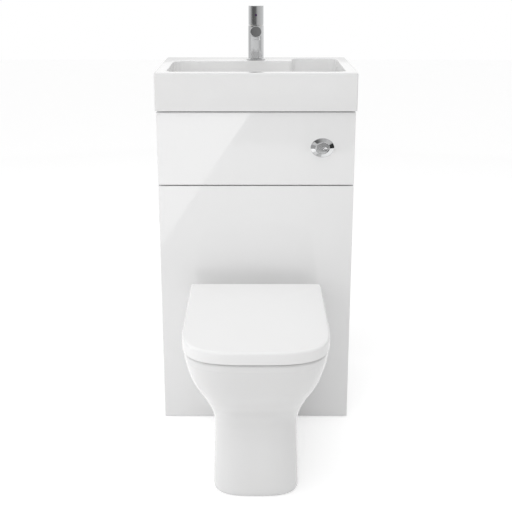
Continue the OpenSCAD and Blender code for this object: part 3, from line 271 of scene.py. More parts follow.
def faced_board(name):
    """White melamine on the faces, and the pressed chips on cut edges, which the cut_edge attribute marks."""
    made, tree, shader, coords = start_material(name, {"Specular_IOR_Level": 0.4})
    tone = use_group(tree, TONE, coords, Scale=9.0, Light=grey(0.86), Dark=grey(0.835, 0.004),
                     Smooth=0.3, Rough=0.38)
    chips = use_group(tree, FLECKS, coords, Scale=420.0, Light=(0.62, 0.49, 0.33, 1),
                      Dark=(0.40, 0.28, 0.16, 1))
    cut = node(tree, "ShaderNodeAttribute", attribute_name="cut_edge").outputs["Fac"]
    feed(tree, shader, blend(tree, cut, tone["Color"], chips["Color"]),
         blend_numbers(tree, cut, tone["Roughness"], 0.8),
         relief(tree, coords, 900.0, 2500.0, 0.3, 0.15, 0.0001))
    return made


SMOOTH_MOULDING = (250.0, 1400.0, 0.5, 0.15, 0.0002)
TEXTURED_MOULDING = (300.0, 1500.0, 0.5, 0.2, 0.0002)
FINISH = {
    "white_panel": coated("white_lacquer", grey(0.86), grey(0.85), 2.0, 0.03, 0.06,
                          (130.0, 900.0, 0.2, 0.06, 0.0001), Coat_Weight=0.4, Coat_Roughness=0.03),
    "carcass_board": faced_board("faced_board"),
    "beech": streaked("beech_wood", (0.72, 0.52, 0.32, 1), (0.56, 0.37, 0.2, 1), 70.0, (1, 14, 14),
                      0.5, 0.65),
    "ceramic": coated("glazed_ceramic", grey(0.84), grey(0.825, 0.003), 5.0, 0.04, 0.09,
                      (45.0, 500.0, 0.1, 0.1, 0.0003), Coat_Weight=0.3, Coat_Roughness=0.03),
    "seat_plastic": coated("seat_thermoset", grey(0.91), grey(0.9, 0.002), 4.0, 0.12, 0.17,
                           (70.0, 700.0, 0.2, 0.05, 0.0002)),
    "chrome": coated("polished_chrome", grey(0.74, -0.008), grey(0.68, -0.008), 14.0, 0.04, 0.09,
                     (90.0, 900.0, 0.3, 0.03, 0.0001), Metallic=1.0),
    "steel": spangled("zinc_steel", grey(0.62, -0.01), grey(0.46, -0.01), 260.0, 0.3, 0.45, Metallic=1.0),
    "brass": streaked("machined_brass", (0.72, 0.53, 0.24, 1), (0.6, 0.42, 0.17, 1), 300.0, (1, 1, 0.1),
                      0.2, 0.35, Metallic=1.0),
    "white_fitting": coated("moulded_polypropylene", grey(0.79, 0.006), grey(0.75, 0.01), 12.0, 0.38, 0.5,
                            SMOOTH_MOULDING),
    "grey_fitting": coated("moulded_grey", grey(0.13, -0.02), grey(0.1, -0.02), 20.0, 0.4, 0.55,
                           TEXTURED_MOULDING),
    "blue_fitting": coated("moulded_blue", (0.03, 0.13, 0.42, 1), (0.025, 0.1, 0.34, 1), 20.0, 0.35, 0.5,
                           TEXTURED_MOULDING),
    "orange_fitting": coated("moulded_orange", (0.78, 0.2, 0.02, 1), (0.68, 0.16, 0.015, 1), 20.0, 0.35,
                             0.5, TEXTURED_MOULDING),
    "rubber": coated("black_rubber", grey(0.03), grey(0.02), 30.0, 0.55, 0.75,
                     (400.0, 1800.0, 0.5, 0.35, 0.0003)),
    "indicator": coated("dark_indicator", (0.05, 0.008, 0.08, 1), (0.035, 0.006, 0.06, 1), 200.0, 0.12,
                        0.2, (500.0, 2000.0, 0.3, 0.05, 0.0001)),
}

# Mesh work

SAME_PLACE = 1e-6
TURNS = {"Z": Matrix.Identity(3), "Y": Matrix.Rotation(math.radians(-90), 3, "X"),
         "X": Matrix.Rotation(math.radians(90), 3, "Y")}


def put(name, data):
    """A new object of the scene, at the origin."""
    made = bpy.data.objects.new(name, data)
    SCENE.collection.objects.link(made)
    return made


def make_mesh(name, points, faces):
    """A mesh object from points in millimetres; its faces are turned outwards."""
    mesh = bpy.data.meshes.new(name)
    mesh.from_pydata([tuple(float(v) * MM for v in p) for p in points], [], faces)
    work = bmesh.new()
    work.from_mesh(mesh)
    bmesh.ops.remove_doubles(work, verts=work.verts, dist=SAME_PLACE)
    bmesh.ops.recalc_face_normals(work, faces=work.faces)
    work.to_mesh(mesh)
    work.free()
    return put(name, mesh)


def finished_mesh(piece):
    """The piece's mesh as its modifiers leave it."""
    bpy.context.view_layer.update()
    graph = bpy.context.evaluated_depsgraph_get()
    return bpy.data.meshes.new_from_object(piece.evaluated_get(graph), preserve_all_data_layers=True,
                                           depsgraph=graph)


def bake(piece):
    """Puts the piece's modifiers into its mesh."""
    mesh = finished_mesh(piece)
    piece.modifiers.clear()
    piece.data = mesh


def drop(*pieces):
    for piece in pieces:
        bpy.data.objects.remove(piece)


def carve(piece, cutters, operation="DIFFERENCE"):
    """Takes the cutters out of the piece, joins them to it, or keeps what they share."""
    for cutter in cutters:
        work = piece.modifiers.new("carve", "BOOLEAN")
        work.solver, work.operation, work.object = "MANIFOLD", operation, cutter
        bake(piece)
        drop(cutter)
    return piece


def join(piece, cutters):
    return carve(piece, cutters, "UNION")


def add(piece, *others):
    """One piece from several that touch."""
    whole = bmesh.new()
    for part in (piece, *others):
        whole.from_mesh(part.data)
    whole.to_mesh(piece.data)
    whole.free()
    drop(*others)
    return piece


def place(piece, where, axis="Z"):
    """Puts a piece made at the origin on its place, with its height along an axis."""
    piece.data.transform(Matrix.Translation(Vector(where) * MM) @ TURNS[axis].to_4x4())
    return piece


def loft(name, rings, is_hoop=False):
    """A closed solid through rings of equal count. A hoop has no ends: its last ring meets its first."""
    count, total = len(rings[0]), len(rings)
    faces = []
    for k in range(total if is_hoop else total - 1):
        this, after = k * count, (k + 1) % total * count
        for i in range(count):
            j = (i + 1) % count
            faces.append((this + i, this + j, after + j, after + i))
    if not is_hoop:
        faces += [tuple(range(count)), tuple(range((total - 1) * count, total * count))]
    return make_mesh(name, [p for ring in rings for p in ring], faces)


def lathe(name, profile, centre, axis, sides=64):
    """A profile of (radius, distance along the axis) pairs turned about an axis through centre."""
    turn = TURNS[axis] if isinstance(axis, str) else axis
    points, rows, faces = [], [], []
    for radius, along in profile:
        count = sides if radius > SAME_PLACE else 1
        rows.append(range(len(points), len(points) + count))
        points += [turn @ Vector((radius * math.cos(a), radius * math.sin(a), along))
                   for a in (math.tau * i / count for i in range(count))]
    closing = [rows[0]] if len(rows[0]) > 1 and len(rows[-1]) > 1 else []
    for a, b in zip(rows, rows[1:] + closing):
        for i in range(sides):
            j = (i + 1) % sides
            corners = dict.fromkeys((a[i % len(a)], a[j % len(a)], b[j % len(b)], b[i % len(b)]))
            if len(corners) > 2:
                faces.append(tuple(corners))
    start = Vector(centre)
    return make_mesh(name, [start + p for p in points], faces)


def rod(name, radius, start, length, axis="Z", sides=64, inner=0.0, edge=0.0):
    """A cylinder, or a tube if inner is given, with its outer edges rounded by edge."""
    r, e = radius, edge
    rim = [(r, 0)]
    if e:
        rim = [(r - e + e * math.sin(a), e - e * math.cos(a)) for a in np.radians([0, 30, 60, 90])]
    profile = [(inner, 0)] + rim + [(x, length - y) for x, y in reversed(rim)] + [(inner, length)]
    return lathe(name, profile, start, axis, sides)


def arc(x, y, r, start, end, steps):
    return [(x + r * math.cos(a), y + r * math.sin(a))
            for a in np.radians(np.linspace(start, end, steps + 1))]


def quarter(step, last=90):
    """Angles of a rounded edge, in steps of so many degrees."""
    return np.radians(np.arange(0, last + 1, step))


def foot_edge(r, z, angles):
    """Insets and heights up a rounded lower edge that starts at z."""
    return [(r * (1 - math.sin(a)), z + r * (1 - math.cos(a))) for a in angles]


def top_edge(r, z, angles):
    """Insets and heights up a rounded upper edge that ends at z."""
    return [(r * (1 - math.cos(a)), z - r * (1 - math.sin(a))) for a in angles]


def at(outline, z):
    return [(p[0], p[1], z) for p in outline]


def box_outline(x0, x1, y0, y1, r, steps=5):
    return (arc(x0 + r, y0 + r, r, 180, 270, steps) + arc(x1 - r, y0 + r, r, 270, 360, steps)
            + arc(x1 - r, y1 - r, r, 0, 90, steps) + arc(x0 + r, y1 - r, r, 90, 180, steps))


def edge_rings(outline_of, z0, z1, r0, r1, steps=4):
    """Rings up a solid whose lower and upper edges are rounded by r0 and r1; outline_of takes the inset."""
    angles = np.radians(np.linspace(0, 90, steps + 1))
    return [at(outline_of(inset), z) for inset, z in foot_edge(r0, z0, angles) + top_edge(r1, z1, angles)]


def block(name, lo, hi, r, steps=3):
    """A box whose every edge is rounded."""

    def outline(inset):
        return box_outline(lo[0] + inset, hi[0] - inset, lo[1] + inset, hi[1] - inset, max(r - inset, 0.05))

    return loft(name, edge_rings(outline, lo[2], hi[2], r, r, steps))


def mix(a, b, share):
    return a + (b - a) * share


def signed_power(v, p):
    return math.copysign(abs(v) ** p, v)


def even_angles(half_w, bow, power, count):
    """Angles that space the points of a bowed front evenly along its length."""
    a = np.radians(np.linspace(180, 360, 6001))
    x = half_w * np.sign(np.cos(a)) * np.abs(np.cos(a)) ** (2 / power)
    y = bow * np.sign(np.sin(a)) * np.abs(np.sin(a)) ** (2 / power)
    run = np.concatenate([[0], np.cumsum(np.hypot(np.diff(x), np.diff(y)))])
    return np.interp(np.linspace(0, run[-1], count + 1), run, a)


RIM_HALF, RIM_BOW, RIM_POWER = 164, 150, 3.3
BOW_ANGLES = even_angles(RIM_HALF, RIM_BOW, RIM_POWER, 96)


def d_outline(half_w, front, back, bow, power, back_r, steps=6):
    """Outline seen from above: straight sides, a bowed front and a straight back."""
    bowed = [(half_w * signed_power(math.cos(a), 2 / power),
              front + bow + bow * signed_power(math.sin(a), 2 / power)) for a in BOW_ANGLES]
    right, left = half_w - back_r, back_r - half_w
    return (bowed + arc(right, back - back_r, back_r, 0, 90, steps)
            + arc(left, back - back_r, back_r, 90, 180, steps))


def curve_rows(rows, steps):
    """Rows of a table with smooth ones between them."""
    rows = [np.array(r, float) for r in rows]
    last = len(rows) - 1
    found = []
    for k in range(steps * last + 1):
        i = min(k // steps, last - 1)
        t = k / steps - i
        a, b, c, d = rows[max(i - 1, 0)], rows[i], rows[i + 1], rows[min(i + 2, last)]
        found.append(b + (c - a) * t / 2 + (2 * a - 5 * b + 4 * c - d) * t * t / 2
                     + (3 * b - a - 3 * c + d) * t ** 3 / 2)
    return found


def settle(piece, *nodes):
    """Finishes a piece: sharp edges by angle, even normals, the finish of its slot, and its body."""
    first = nodes[0]
    piece.data.shade_smooth()
    piece.data.set_sharp_from_angle(angle=math.radians(32))
    even = piece.modifiers.new("even", "WEIGHTED_NORMAL")
    even.keep_sharp = True
    bake(piece)
    piece.data.materials.clear()
    piece.data.materials.append(FINISH[SLOT_OF[first]])
    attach(piece, BODY_OF[first])
    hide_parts(*nodes)
    return piece


def soften(name, width):
    """A merged copy of a CAD node with small rounded edges, which stands for it."""
    mesh = frame["nodes"][name].data.copy()
    work = bmesh.new()
    work.from_mesh(mesh)
    bmesh.ops.remove_doubles(work, verts=work.verts, dist=2 * SAME_PLACE)
    bmesh.ops.dissolve_limit(work, angle_limit=math.radians(1), verts=work.verts, edges=work.edges)
    work.to_mesh(mesh)
    work.free()
    piece = put(name + "_finished", mesh)
    edge = piece.modifiers.new("edge", "BEVEL")
    edge.width, edge.segments, edge.limit_method, edge.angle_limit = width * MM, 2, "ANGLE", math.radians(40)
    edge.use_clamp_overlap = True
    bake(piece)
    return settle(piece, name)


def soften_all(width, *names):
    for name in names:
        soften(name, width)


def hexagon(name, r, start, height):
    """A hexagonal nut whose corners are turned off."""
    points = [(r * math.cos(a), r * math.sin(a)) for a in (math.tau * i / 6 for i in range(6))]
    nut = loft(name, [[(start[0] + x, start[1] + y, start[2] + z) for x, y in points] for z in (0, height)])
    flat, wide, bevel = r * 0.9, r * 1.01, r * 0.07
    profile = [(0, 0), (flat, 0), (wide, bevel), (wide, height - bevel), (flat, height), (0, height)]
    return carve(nut, [lathe("turned", profile, start, "Z", 48)], "INTERSECT")


# Shapes that repeat or that follow a path, as node trees with named inputs in millimetres


def shape_tree(fill, takes_path=False, **inputs):
    """A tree named after the function that fills it. It ends in real geometry with its finish, in metres."""
    tree = bpy.data.node_groups.new(fill.__name__, "GeometryNodeTree")
    if takes_path:
        tree.interface.new_socket("Path", in_out="INPUT", socket_type="NodeSocketGeometry")
    for label, value in inputs.items():
        kind = "NodeSocketInt" if isinstance(value, int) else "NodeSocketFloat"
        tree.interface.new_socket(label, in_out="INPUT", socket_type=kind).default_value = value
    tree.interface.new_socket("Finish", in_out="INPUT", socket_type="NodeSocketMaterial")
    tree.interface.new_socket("Shape", in_out="OUTPUT", socket_type="NodeSocketGeometry")
    given = tree.nodes.new("NodeGroupInput").outputs
    real = node(tree, "GeometryNodeRealizeInstances", [("Geometry", fill(tree, given))])
    scaled = node(tree, "GeometryNodeTransform", [("Geometry", real.outputs[0]), ("Scale", (MM, MM, MM))])
    painted = node(tree, "GeometryNodeSetMaterial",
                   [("Geometry", scaled.outputs[0]), ("Material", given["Finish"])])
    tree.links.new(painted.outputs[0], tree.nodes.new("NodeGroupOutput").inputs["Shape"])
    return tree


def vector(tree, **parts):
    return node(tree, "ShaderNodeCombineXYZ", parts.items()).outputs[0]


def repeat(tree, points, shape, turn=None):
    """The shape on every point, turned by a vector of angles where one is given."""
    sockets = [("Points", points), ("Instance", shape)]
    if turn is not None:
        sockets.append(("Rotation", node(tree, "FunctionNodeEulerToRotation", [(0, turn)]).outputs[0]))
    return node(tree, "GeometryNodeInstanceOnPoints", sockets).outputs[0]


def follow(tree, line, sides, radius):
    """A closed round tube along a curve."""
    ring = node(tree, "GeometryNodeCurvePrimitiveCircle", [("Resolution", sides), ("Radius", radius)])
    sockets = [("Curve", line), ("Profile Curve", ring.outputs["Curve"]), ("Fill Caps", True)]
    return node(tree, "GeometryNodeCurveToMesh", sockets).outputs[0]


def half_round(tree, given):
    """A rib with a round face, standing on the origin."""
    bar = node(tree, "GeometryNodeMeshCylinder", [("Vertices", 12), ("Radius", 1.0), ("Depth", 1.0)])
    size = vector(tree, X=given["Depth"], Y=given["Width"], Z=given["Height"])
    lift = vector(tree, Z=maths(tree, "MULTIPLY", given["Height"], 0.5))
    sockets = [("Geometry", bar.outputs["Mesh"]), ("Scale", size), ("Translation", lift)]
    return node(tree, "GeometryNodeTransform", sockets).outputs[0]


def rib_ring(tree, given):
    circle = node(tree, "GeometryNodeMeshCircle", [("Vertices", given["Count"]), ("Radius", given["Radius"])])
    index = tree.nodes.new("GeometryNodeInputIndex").outputs[0]
    angle = maths(tree, "DIVIDE", maths(tree, "MULTIPLY", index, math.tau), given["Count"])
    return repeat(tree, circle.outputs["Mesh"], half_round(tree, given), vector(tree, Z=angle))


def wall_ribs(tree, given):
    step = maths(tree, "DIVIDE", given["Span"], maths(tree, "SUBTRACT", given["Count"], 1.0))
    start = vector(tree, X=maths(tree, "MULTIPLY", given["Span"], -0.5))
    sockets = [("Count", given["Count"]), ("Start Location", start), ("Offset", vector(tree, X=step))]
    line = node(tree, "GeometryNodeMeshLine", sockets)
    return repeat(tree, line.outputs[0], half_round(tree, given), (0, 0, math.pi / 2))


def thread_turns(tree, given):
    turns = maths(tree, "DIVIDE", given["Length"], given["Pitch"])
    sockets = [("Resolution", 28), ("Rotations", turns), ("Start Radius", given["Radius"]),
               ("End Radius", given["Radius"]), ("Height", given["Length"])]
    return follow(tree, node(tree, "GeometryNodeCurveSpiral", sockets).outputs[0], 5, given["Ridge"])


def nozzle_field(tree, given):
    """Small cones on a grid, where they lie within reach of its centre."""
    span = maths(tree, "MULTIPLY", given["Spacing"], 6.0)
    grid = node(tree, "GeometryNodeMeshGrid",
                [("Size X", span), ("Size Y", span), ("Vertices X", 7), ("Vertices Y", 7)])
    spot = tree.nodes.new("GeometryNodeInputPosition").outputs[0]
    away = node(tree, "ShaderNodeVectorMath", [(0, spot)], operation="LENGTH").outputs["Value"]
    far = maths(tree, "GREATER_THAN", away, given["Reach"])
    sockets = [("Geometry", grid.outputs["Mesh"]), ("Selection", far)]
    kept = node(tree, "GeometryNodeDeleteGeometry", sockets, domain="POINT")
    tip = maths(tree, "MULTIPLY", given["Radius"], 0.7)
    cone = node(tree, "GeometryNodeMeshCone", [("Vertices", 12), ("Radius Top", given["Radius"]),
                                               ("Radius Bottom", tip), ("Depth", given["Height"])])
    return repeat(tree, kept.outputs[0], cone.outputs["Mesh"])


def swept_tube(tree, given):
    even = node(tree, "GeometryNodeResampleCurve", [("Curve", given["Path"]), ("Count", given["Count"])])
    return follow(tree, even.outputs[0], given["Sides"], given["Radius"])


RIBS = shape_tree(rib_ring, Count=12, Radius=30.0, Depth=1.0, Width=1.5, Height=20.0)
WALL_RIBS = shape_tree(wall_ribs, Count=6, Span=300.0, Depth=2.0, Width=3.0, Height=200.0)
THREAD = shape_tree(thread_turns, Radius=10.0, Pitch=1.5, Length=20.0, Ridge=0.3)
NOZZLES = shape_tree(nozzle_field, Spacing=2.0, Reach=6.0, Radius=0.7, Height=2.0)
SWEPT = shape_tree(swept_tube, takes_path=True, Count=60, Radius=10.0, Sides=32)


def grow(name, tree, part, path=None, **values):
    """Runs a shape tree with the finish of a part, and keeps the result as a plain mesh."""
    made = put(name, path or bpy.data.meshes.new(name))
    work = made.modifiers.new(tree.name, "NODES")
    work.node_group = tree
    values["Finish"] = FINISH[SLOT_OF[part]]
    for socket in tree.interface.items_tree:
        if socket.in_out == "INPUT" and socket.name in values:
            value = values[socket.name]
            work[socket.identifier] = float(value) if socket.socket_type == "NodeSocketFloat" else value
    mesh = finished_mesh(made)
    drop(made)
    return put(name, mesh)


def sweep(name, part, points, radius, sides, count):
    line = bpy.data.curves.new(name, "CURVE")
    line.dimensions = "3D"
    spline = line.splines.new("POLY")
    spline.points.add(len(points) - 1)
    for spot, point in zip(spline.points, points):
        spot.co = (*point, 1)
    return grow(name, SWEPT, part, path=line, Radius=radius, Sides=sides, Count=count)


def thread(name, part, start, radius, pitch, length, ridge, axis="Z"):
    made = grow(name, THREAD, part, Radius=radius, Pitch=pitch, Length=length, Ridge=ridge)
    return place(made, start, axis)


# Basin: an L-shaped bowl in a slab with rounded edges

RIM_W, LEDGE_D, RIM_BACK = 27, 91, 26
BOWL_DEPTH, BOWL_DRAFT, FLOOR_R, LIP_R = 80, math.radians(3), 20, 3
RECESS_X, LEDGE_T, BASIN_WALL = 100, 16, 14
BOWL_FLOOR = BASIN_TOP - BOWL_DEPTH
BOWL_FRONT = BASIN_FRONT + RIM_W
OVERFLOW_Z = BASIN_TOP - 30


def bowl_outline(inset):
    x0, x1, xr = -BASIN_X + RIM_W + 1.6 * inset, BASIN_X - RIM_W - inset, RECESS_X + inset
    y0, y1, yr = BOWL_FRONT + inset, WALL_Y - LEDGE_D - inset, WALL_Y - RIM_BACK - inset
    r, re = max(25 - inset / 2, 6), 12 + max(inset, -LIP_R)
    corners = [(x0 + r, y0 + r, r, 180, 270), (x1 - r, y0 + r, r, 270, 360), (x1 - r, yr - r, r, 0, 90),
               (xr + r, yr - r, r, 90, 180), (xr - re, y1 + re, re, 0, -90), (x0 + r, y1 - r, r, 90, 180)]
    return [p for corner in corners for p in arc(*corner, 12)]


def build_basin():
    def slab(inset):
        return box_outline(-BASIN_X + inset, BASIN_X - inset, BASIN_FRONT + inset, WALL_Y, 3)

    piece = loft("basin_ceramic", edge_rings(slab, CARCASS_TOP, BASIN_TOP, 1.5, 3, 5))
    wall_inset = (BOWL_DEPTH - FLOOR_R) * math.tan(BOWL_DRAFT)
    rings = [at(bowl_outline(wall_inset + inset), z)
             for inset, z in foot_edge(FLOOR_R, BOWL_FLOOR, quarter(9))]
    rings += [at(bowl_outline(-inset), z) for inset, z in top_edge(LIP_R, BASIN_TOP, quarter(15))]
    rings.append(at(bowl_outline(-LIP_R), BASIN_TOP + 1))
    hollow = block("hollow", (BASIN_WALL - BASIN_X, WALL_Y - LEDGE_D + BASIN_WALL, CARCASS_TOP - 5),
                   (RECESS_X - BASIN_WALL, WALL_Y - BASIN_WALL, BASIN_TOP - LEDGE_T), 4)
    tap_hole = rod("tap_hole", 17.5, (0, TAP_Y, BASIN_TOP - 60), 80)
    waste_hole = rod("waste_hole", 22, (0, WASTE_Y, CARCASS_TOP - 5), 60)
    overflow = rod("overflow", 12, (0, BOWL_FRONT - BASIN_WALL, OVERFLOW_Z), 2 * BASIN_WALL, "Y")
    settle(carve(piece, [loft("bowl", rings), hollow, tap_hole, waste_hole, overflow]), "basin")


def build_overflow_ring():
    tilt = Matrix.Rotation(BOWL_DRAFT - math.radians(90), 3, "X")
    centre = (0, BOWL_FRONT + 30 * math.tan(BOWL_DRAFT), OVERFLOW_Z)
    profile = [(9, -9), (11.5, -9), (11.5, 0.05), (15, 0.05), (15, 0.9), (14.6, 1.6), (13.9, 2), (10, 2),
               (9.3, 1.7), (9, 1)]
    settle(lathe("overflow_collar", profile, centre, tilt), "overflow_ring")


def build_waste():
    end, floor, foot = WASTE_END, BOWL_FLOOR, CARCASS_TOP
    profile = [(17, end + 1), (18, end), (19, end), (20, end + 1), (20, floor), (32, floor),
               (32, floor + 0.6), (31.6, floor + 1.4), (30.4, floor + 2.3), (28.5, floor + 2.9),
               (27, floor + 3), (19, floor + 2.6), (17.6, floor + 2), (17, floor + 1)]
    piece = lathe("waste_fitting", profile, (0, WASTE_Y, 0), "Z", 72)
    arms = [rod("hub", 7, (0, WASTE_Y, foot), 6, inner=ROD_HOLE)]
    spans = ((-17.6, -5.5), (5.5, 17.6))
    arms += [block("arm", (a, WASTE_Y - 1, foot), (b, WASTE_Y + 1, foot + 6), 0.3) for a, b in spans]
    arms += [block("arm", (-1, WASTE_Y + a, foot), (1, WASTE_Y + b, foot + 6), 0.3) for a, b in spans]
    settle(join(piece, arms), "waste_body")
    face, stem_end = floor + 3.5, low("waste_plug", Z)
    dome = [(0, 0), (25.5, 0), (26.6, 0.3), (27, 1), (26.8, 1.8), (26, 2.7), (24.5, 3.5), (21, 4.5),
            (16, 5.3), (9, 5.85), (0, 6)]
    plug = lathe("waste_push_plug", [(r, face + z) for r, z in dome], (0, WASTE_Y, 0), "Z", 72)
    stem = rod("stem", 4, (0, WASTE_Y, stem_end), face + 1 - stem_end, edge=0.8, sides=32)
    settle(join(plug, [stem]), "waste_plug")


build_basin()
build_overflow_ring()
build_waste()

# Cabinet panels, with holes for the button's sleeve, the flush pipe and the outlet

SLEEVE_HOLE, INLET_HOLE, OUTLET_HOLE, STUD_INSET = 23.5, 36, 54, 30


def front_hole(radius, x, z):
    return rod("hole", radius, (x, FRONT_Y - 2, z), 22, "Y", 72)


def build_panel(name, holes, stud_heights):
    side = high("upper_panel", X)
    piece = block(name + "_board", (-side, FRONT_Y, low(name, Z)), (side, CARCASS_Y, high(name, Z)), 1.0,
                  steps=4)
    studs = [rod("stud_hole", ROD_HOLE, (x, CARCASS_Y - 8.5, z), 10, "Y", 32)
             for x in (7.5 - side, side - 7.5) for z in stud_heights]
    settle(carve(piece, holes + studs), name)


def build_panels():
    top, foot = high("upper_panel", Z), low("upper_panel", Z)
    sleeve_hole = front_hole(SLEEVE_HOLE, BUTTON_X, BUTTON_Z)
    build_panel("upper_panel", [sleeve_hole], (top - STUD_INSET, foot + STUD_INSET))
    top, foot = high("lower_panel", Z), low("lower_panel", Z)
    holes = [front_hole(INLET_HOLE, 0, INLET_Z), front_hole(OUTLET_HOLE, 0, OUTLET_Z)]
    build_panel("lower_panel", holes, (top - STUD_INSET, (top + foot) / 2, foot + STUD_INSET))


build_panels()

# Pan. Its rows give a share of the height, of the swell of the width and of that of the front

FOOT_HALF_W, FOOT_REACH, RIM_REACH = 97, 375, 473
PAN_ROWS = [(0.032, 0.060, 0.072), (0.184, 0.037, 0.041), (0.395, 0.000, 0.000), (0.513, 0.045, 0.062),
            (0.632, 0.284, 0.340), (0.763, 0.687, 0.680), (0.882, 0.903, 0.887), (0.960, 0.985, 0.985)]
PAN_ROWS = curve_rows([(h * RIM_Z, mix(FOOT_HALF_W, RIM_HALF, w), mix(FOOT_REACH, RIM_REACH, f),
                        mix(62, RIM_BOW, w), mix(3, RIM_POWER, w)) for h, w, f in PAN_ROWS], 9)
BOWL_ROWS = curve_rows([(0.460, 0.00), (0.540, 0.30), (0.632, 0.58), (0.750, 0.82), (0.868, 0.95),
                        (0.980, 0.99)], 5)
# Half width, reach of front and back ahead of the panels, bow and corner
BOWL_FOOT, BOWL_RIM = np.array((40, 268, 184, 40, 36)), np.array((116, 423, 120, 130, 116 * 0.7))
BOWL_POWER = 2.4
PAN_WALL, PAN_EDGE, DECK = 12, 6, 22
TRAPWAY = [(226, OUTLET_Z - 20), (170, OUTLET_Z - 57), (100, OUTLET_Z + 37), (45, OUTLET_Z + 3)]
WATER_R, SUMP_R, BOWL_LIP = 28, 41, 7
SUMP = (0, FRONT_Y - 226, OUTLET_Z - 9)
HINGE_X, HINGE_Y, HINGE_Z = 77.5, FRONT_Y - 71, 400
SCREW_Y, SCREW_Z = FRONT_Y - 210, 40
FOOT_HALF = float(np.interp(SCREW_Z, [r[0] for r in PAN_ROWS], [r[1] for r in PAN_ROWS]))


def pan_outline(row, inset, back, z):
    return at(d_outline(row[1] - inset, FRONT_Y - row[2] + inset, back, row[3], row[4], 4), z)


def bowl_ring(share, grow, z):
    moved = np.array((grow, grow, -grow, grow, grow))
    half, reach, back, bow, corner = mix(BOWL_FOOT, BOWL_RIM, share) + moved
    return at(d_outline(half, FRONT_Y - reach, FRONT_Y - back, bow, BOWL_POWER, corner, 12), z)


def bowl_solid(grow, lip):
    rings = [bowl_ring(s, grow, h * RIM_Z) for h, s in BOWL_ROWS]
    share = BOWL_ROWS[-1][1]
    if lip:
        rings += [bowl_ring(share, inset, z) for inset, z in top_edge(lip, RIM_Z, quarter(15)[1:])]
    rings.append(bowl_ring(share, lip or grow, RIM_Z + 1))
    return loft("bowl_space", rings)


def ball(centre, r):
    profile = [(r * math.sin(a), -r * math.cos(a)) for a in np.radians(np.linspace(0, 180, 25))]
    return lathe("ball", profile, centre, "Z", 48)


def trapway(r):
    """The waterway as one solid: balls at the bends and straight runs between them."""
    whole, *others = [ball((0, FRONT_Y - reach, z), r + 0.5) for reach, z in TRAPWAY]
    for (r0, z0), (r1, z1) in zip(TRAPWAY, TRAPWAY[1:]):
        run = Vector((0, r0 - r1, z1 - z0))
        turn = run.to_track_quat("Z", "Y").to_matrix()
        others.append(rod("run", r, (0, FRONT_Y - r0, z0), run.length, turn, 48))
    return join(whole, others)


def build_pan():
    first, last = PAN_ROWS[0], PAN_ROWS[-1]
    rings = [pan_outline(first, PAN_EDGE * (1 - math.sin(a)), FRONT_Y, first[0] * (1 - math.cos(a)))
             for a in quarter(18, 72)]
    rings += [pan_outline(row, 0, FRONT_Y, row[0]) for row in PAN_ROWS]
    rings += [pan_outline(last, inset, FRONT_Y, z) for inset, z in top_edge(PAN_EDGE, RIM_Z, quarter(15))]
    piece = loft("pan_ceramic", rings)
    rows = [row for row in PAN_ROWS if row[0] < RIM_Z - DECK - 6]
    levels = [(first, -1)] + [(row, row[0]) for row in rows] + [(rows[-1], RIM_Z - DECK)]
    inside = loft("inside", [pan_outline(row, PAN_WALL, FRONT_Y + 5, z) for row, z in levels])
    boss = rod("boss", 37, (0, FRONT_Y - 130, INLET_Z), 140, "Y")
    carve(inside, [bowl_solid(PAN_WALL, 0), ball(SUMP, SUMP_R + PAN_WALL), trapway(WATER_R + PAN_WALL), boss])
    carve(piece, [inside])
    join(piece, [rod("spigot", 51, (0, FRONT_Y - 45, OUTLET_Z), 105, "Y", 72, edge=2)])
    ways = [bowl_solid(0, BOWL_LIP), ball(SUMP, SUMP_R), trapway(WATER_R)]
    ways.append(rod("bore", 43, (0, FRONT_Y - 49, OUTLET_Z), 115, "Y"))
    ways.append(rod("inlet", 28, (0, FRONT_Y - 50, INLET_Z), 70, "Y"))
    ways.append(rod("jet", 14, (0, FRONT_Y - 140, INLET_Z), 120, "Y", 40))
    ways += [rod("deck_hole", 7, (x, HINGE_Y, RIM_Z - DECK - 1), DECK + 2, "Z", 40)
             for x in (-HINGE_X, HINGE_X)]
    ways.append(rod("screw_hole", 3.5, (-FOOT_HALF - 10, SCREW_Y, SCREW_Z), 2 * FOOT_HALF + 20, "X", 32))
    settle(carve(piece, ways), "pan")


build_pan()

# Seat ring and lid, which turn on the same pins

LID_HALF, LID_FRONT, LID_BACK = 166.5, FRONT_Y - 477, FRONT_Y - 59
LID_LOW, LID_TOP = RIM_Z + 4, RIM_Z + 34
RING_LOW, RING_TOP = RIM_Z + 4.5, RIM_Z + 22
RING_HALF, RING_REACH, RING_BACK = 160.5, 471, FRONT_Y - 90
EAR_W, BARREL_R = 12, 7


def ear(x, lo, hi):
    """A barrel on the hinge's axis and the arm that carries it, between two corners seen from the side."""
    barrel = rod("barrel", BARREL_R, (x, HINGE_Y, HINGE_Z), EAR_W, "X", 40, edge=0.6)
    return [barrel, block("arm", (x, *lo), (x + EAR_W, *hi), 0.6)]


def pin_hole(x):
    return rod("pin_hole", ROD_HOLE, (x - 1, HINGE_Y, HINGE_Z), EAR_W + 2, "X", 32)


def lid_outline(side, back, z, r=6):
    bow = max(RIM_BOW - side * 0.7, 20)
    return at(d_outline(LID_HALF - side, LID_FRONT + side, LID_BACK - back, bow, RIM_POWER, r), z)


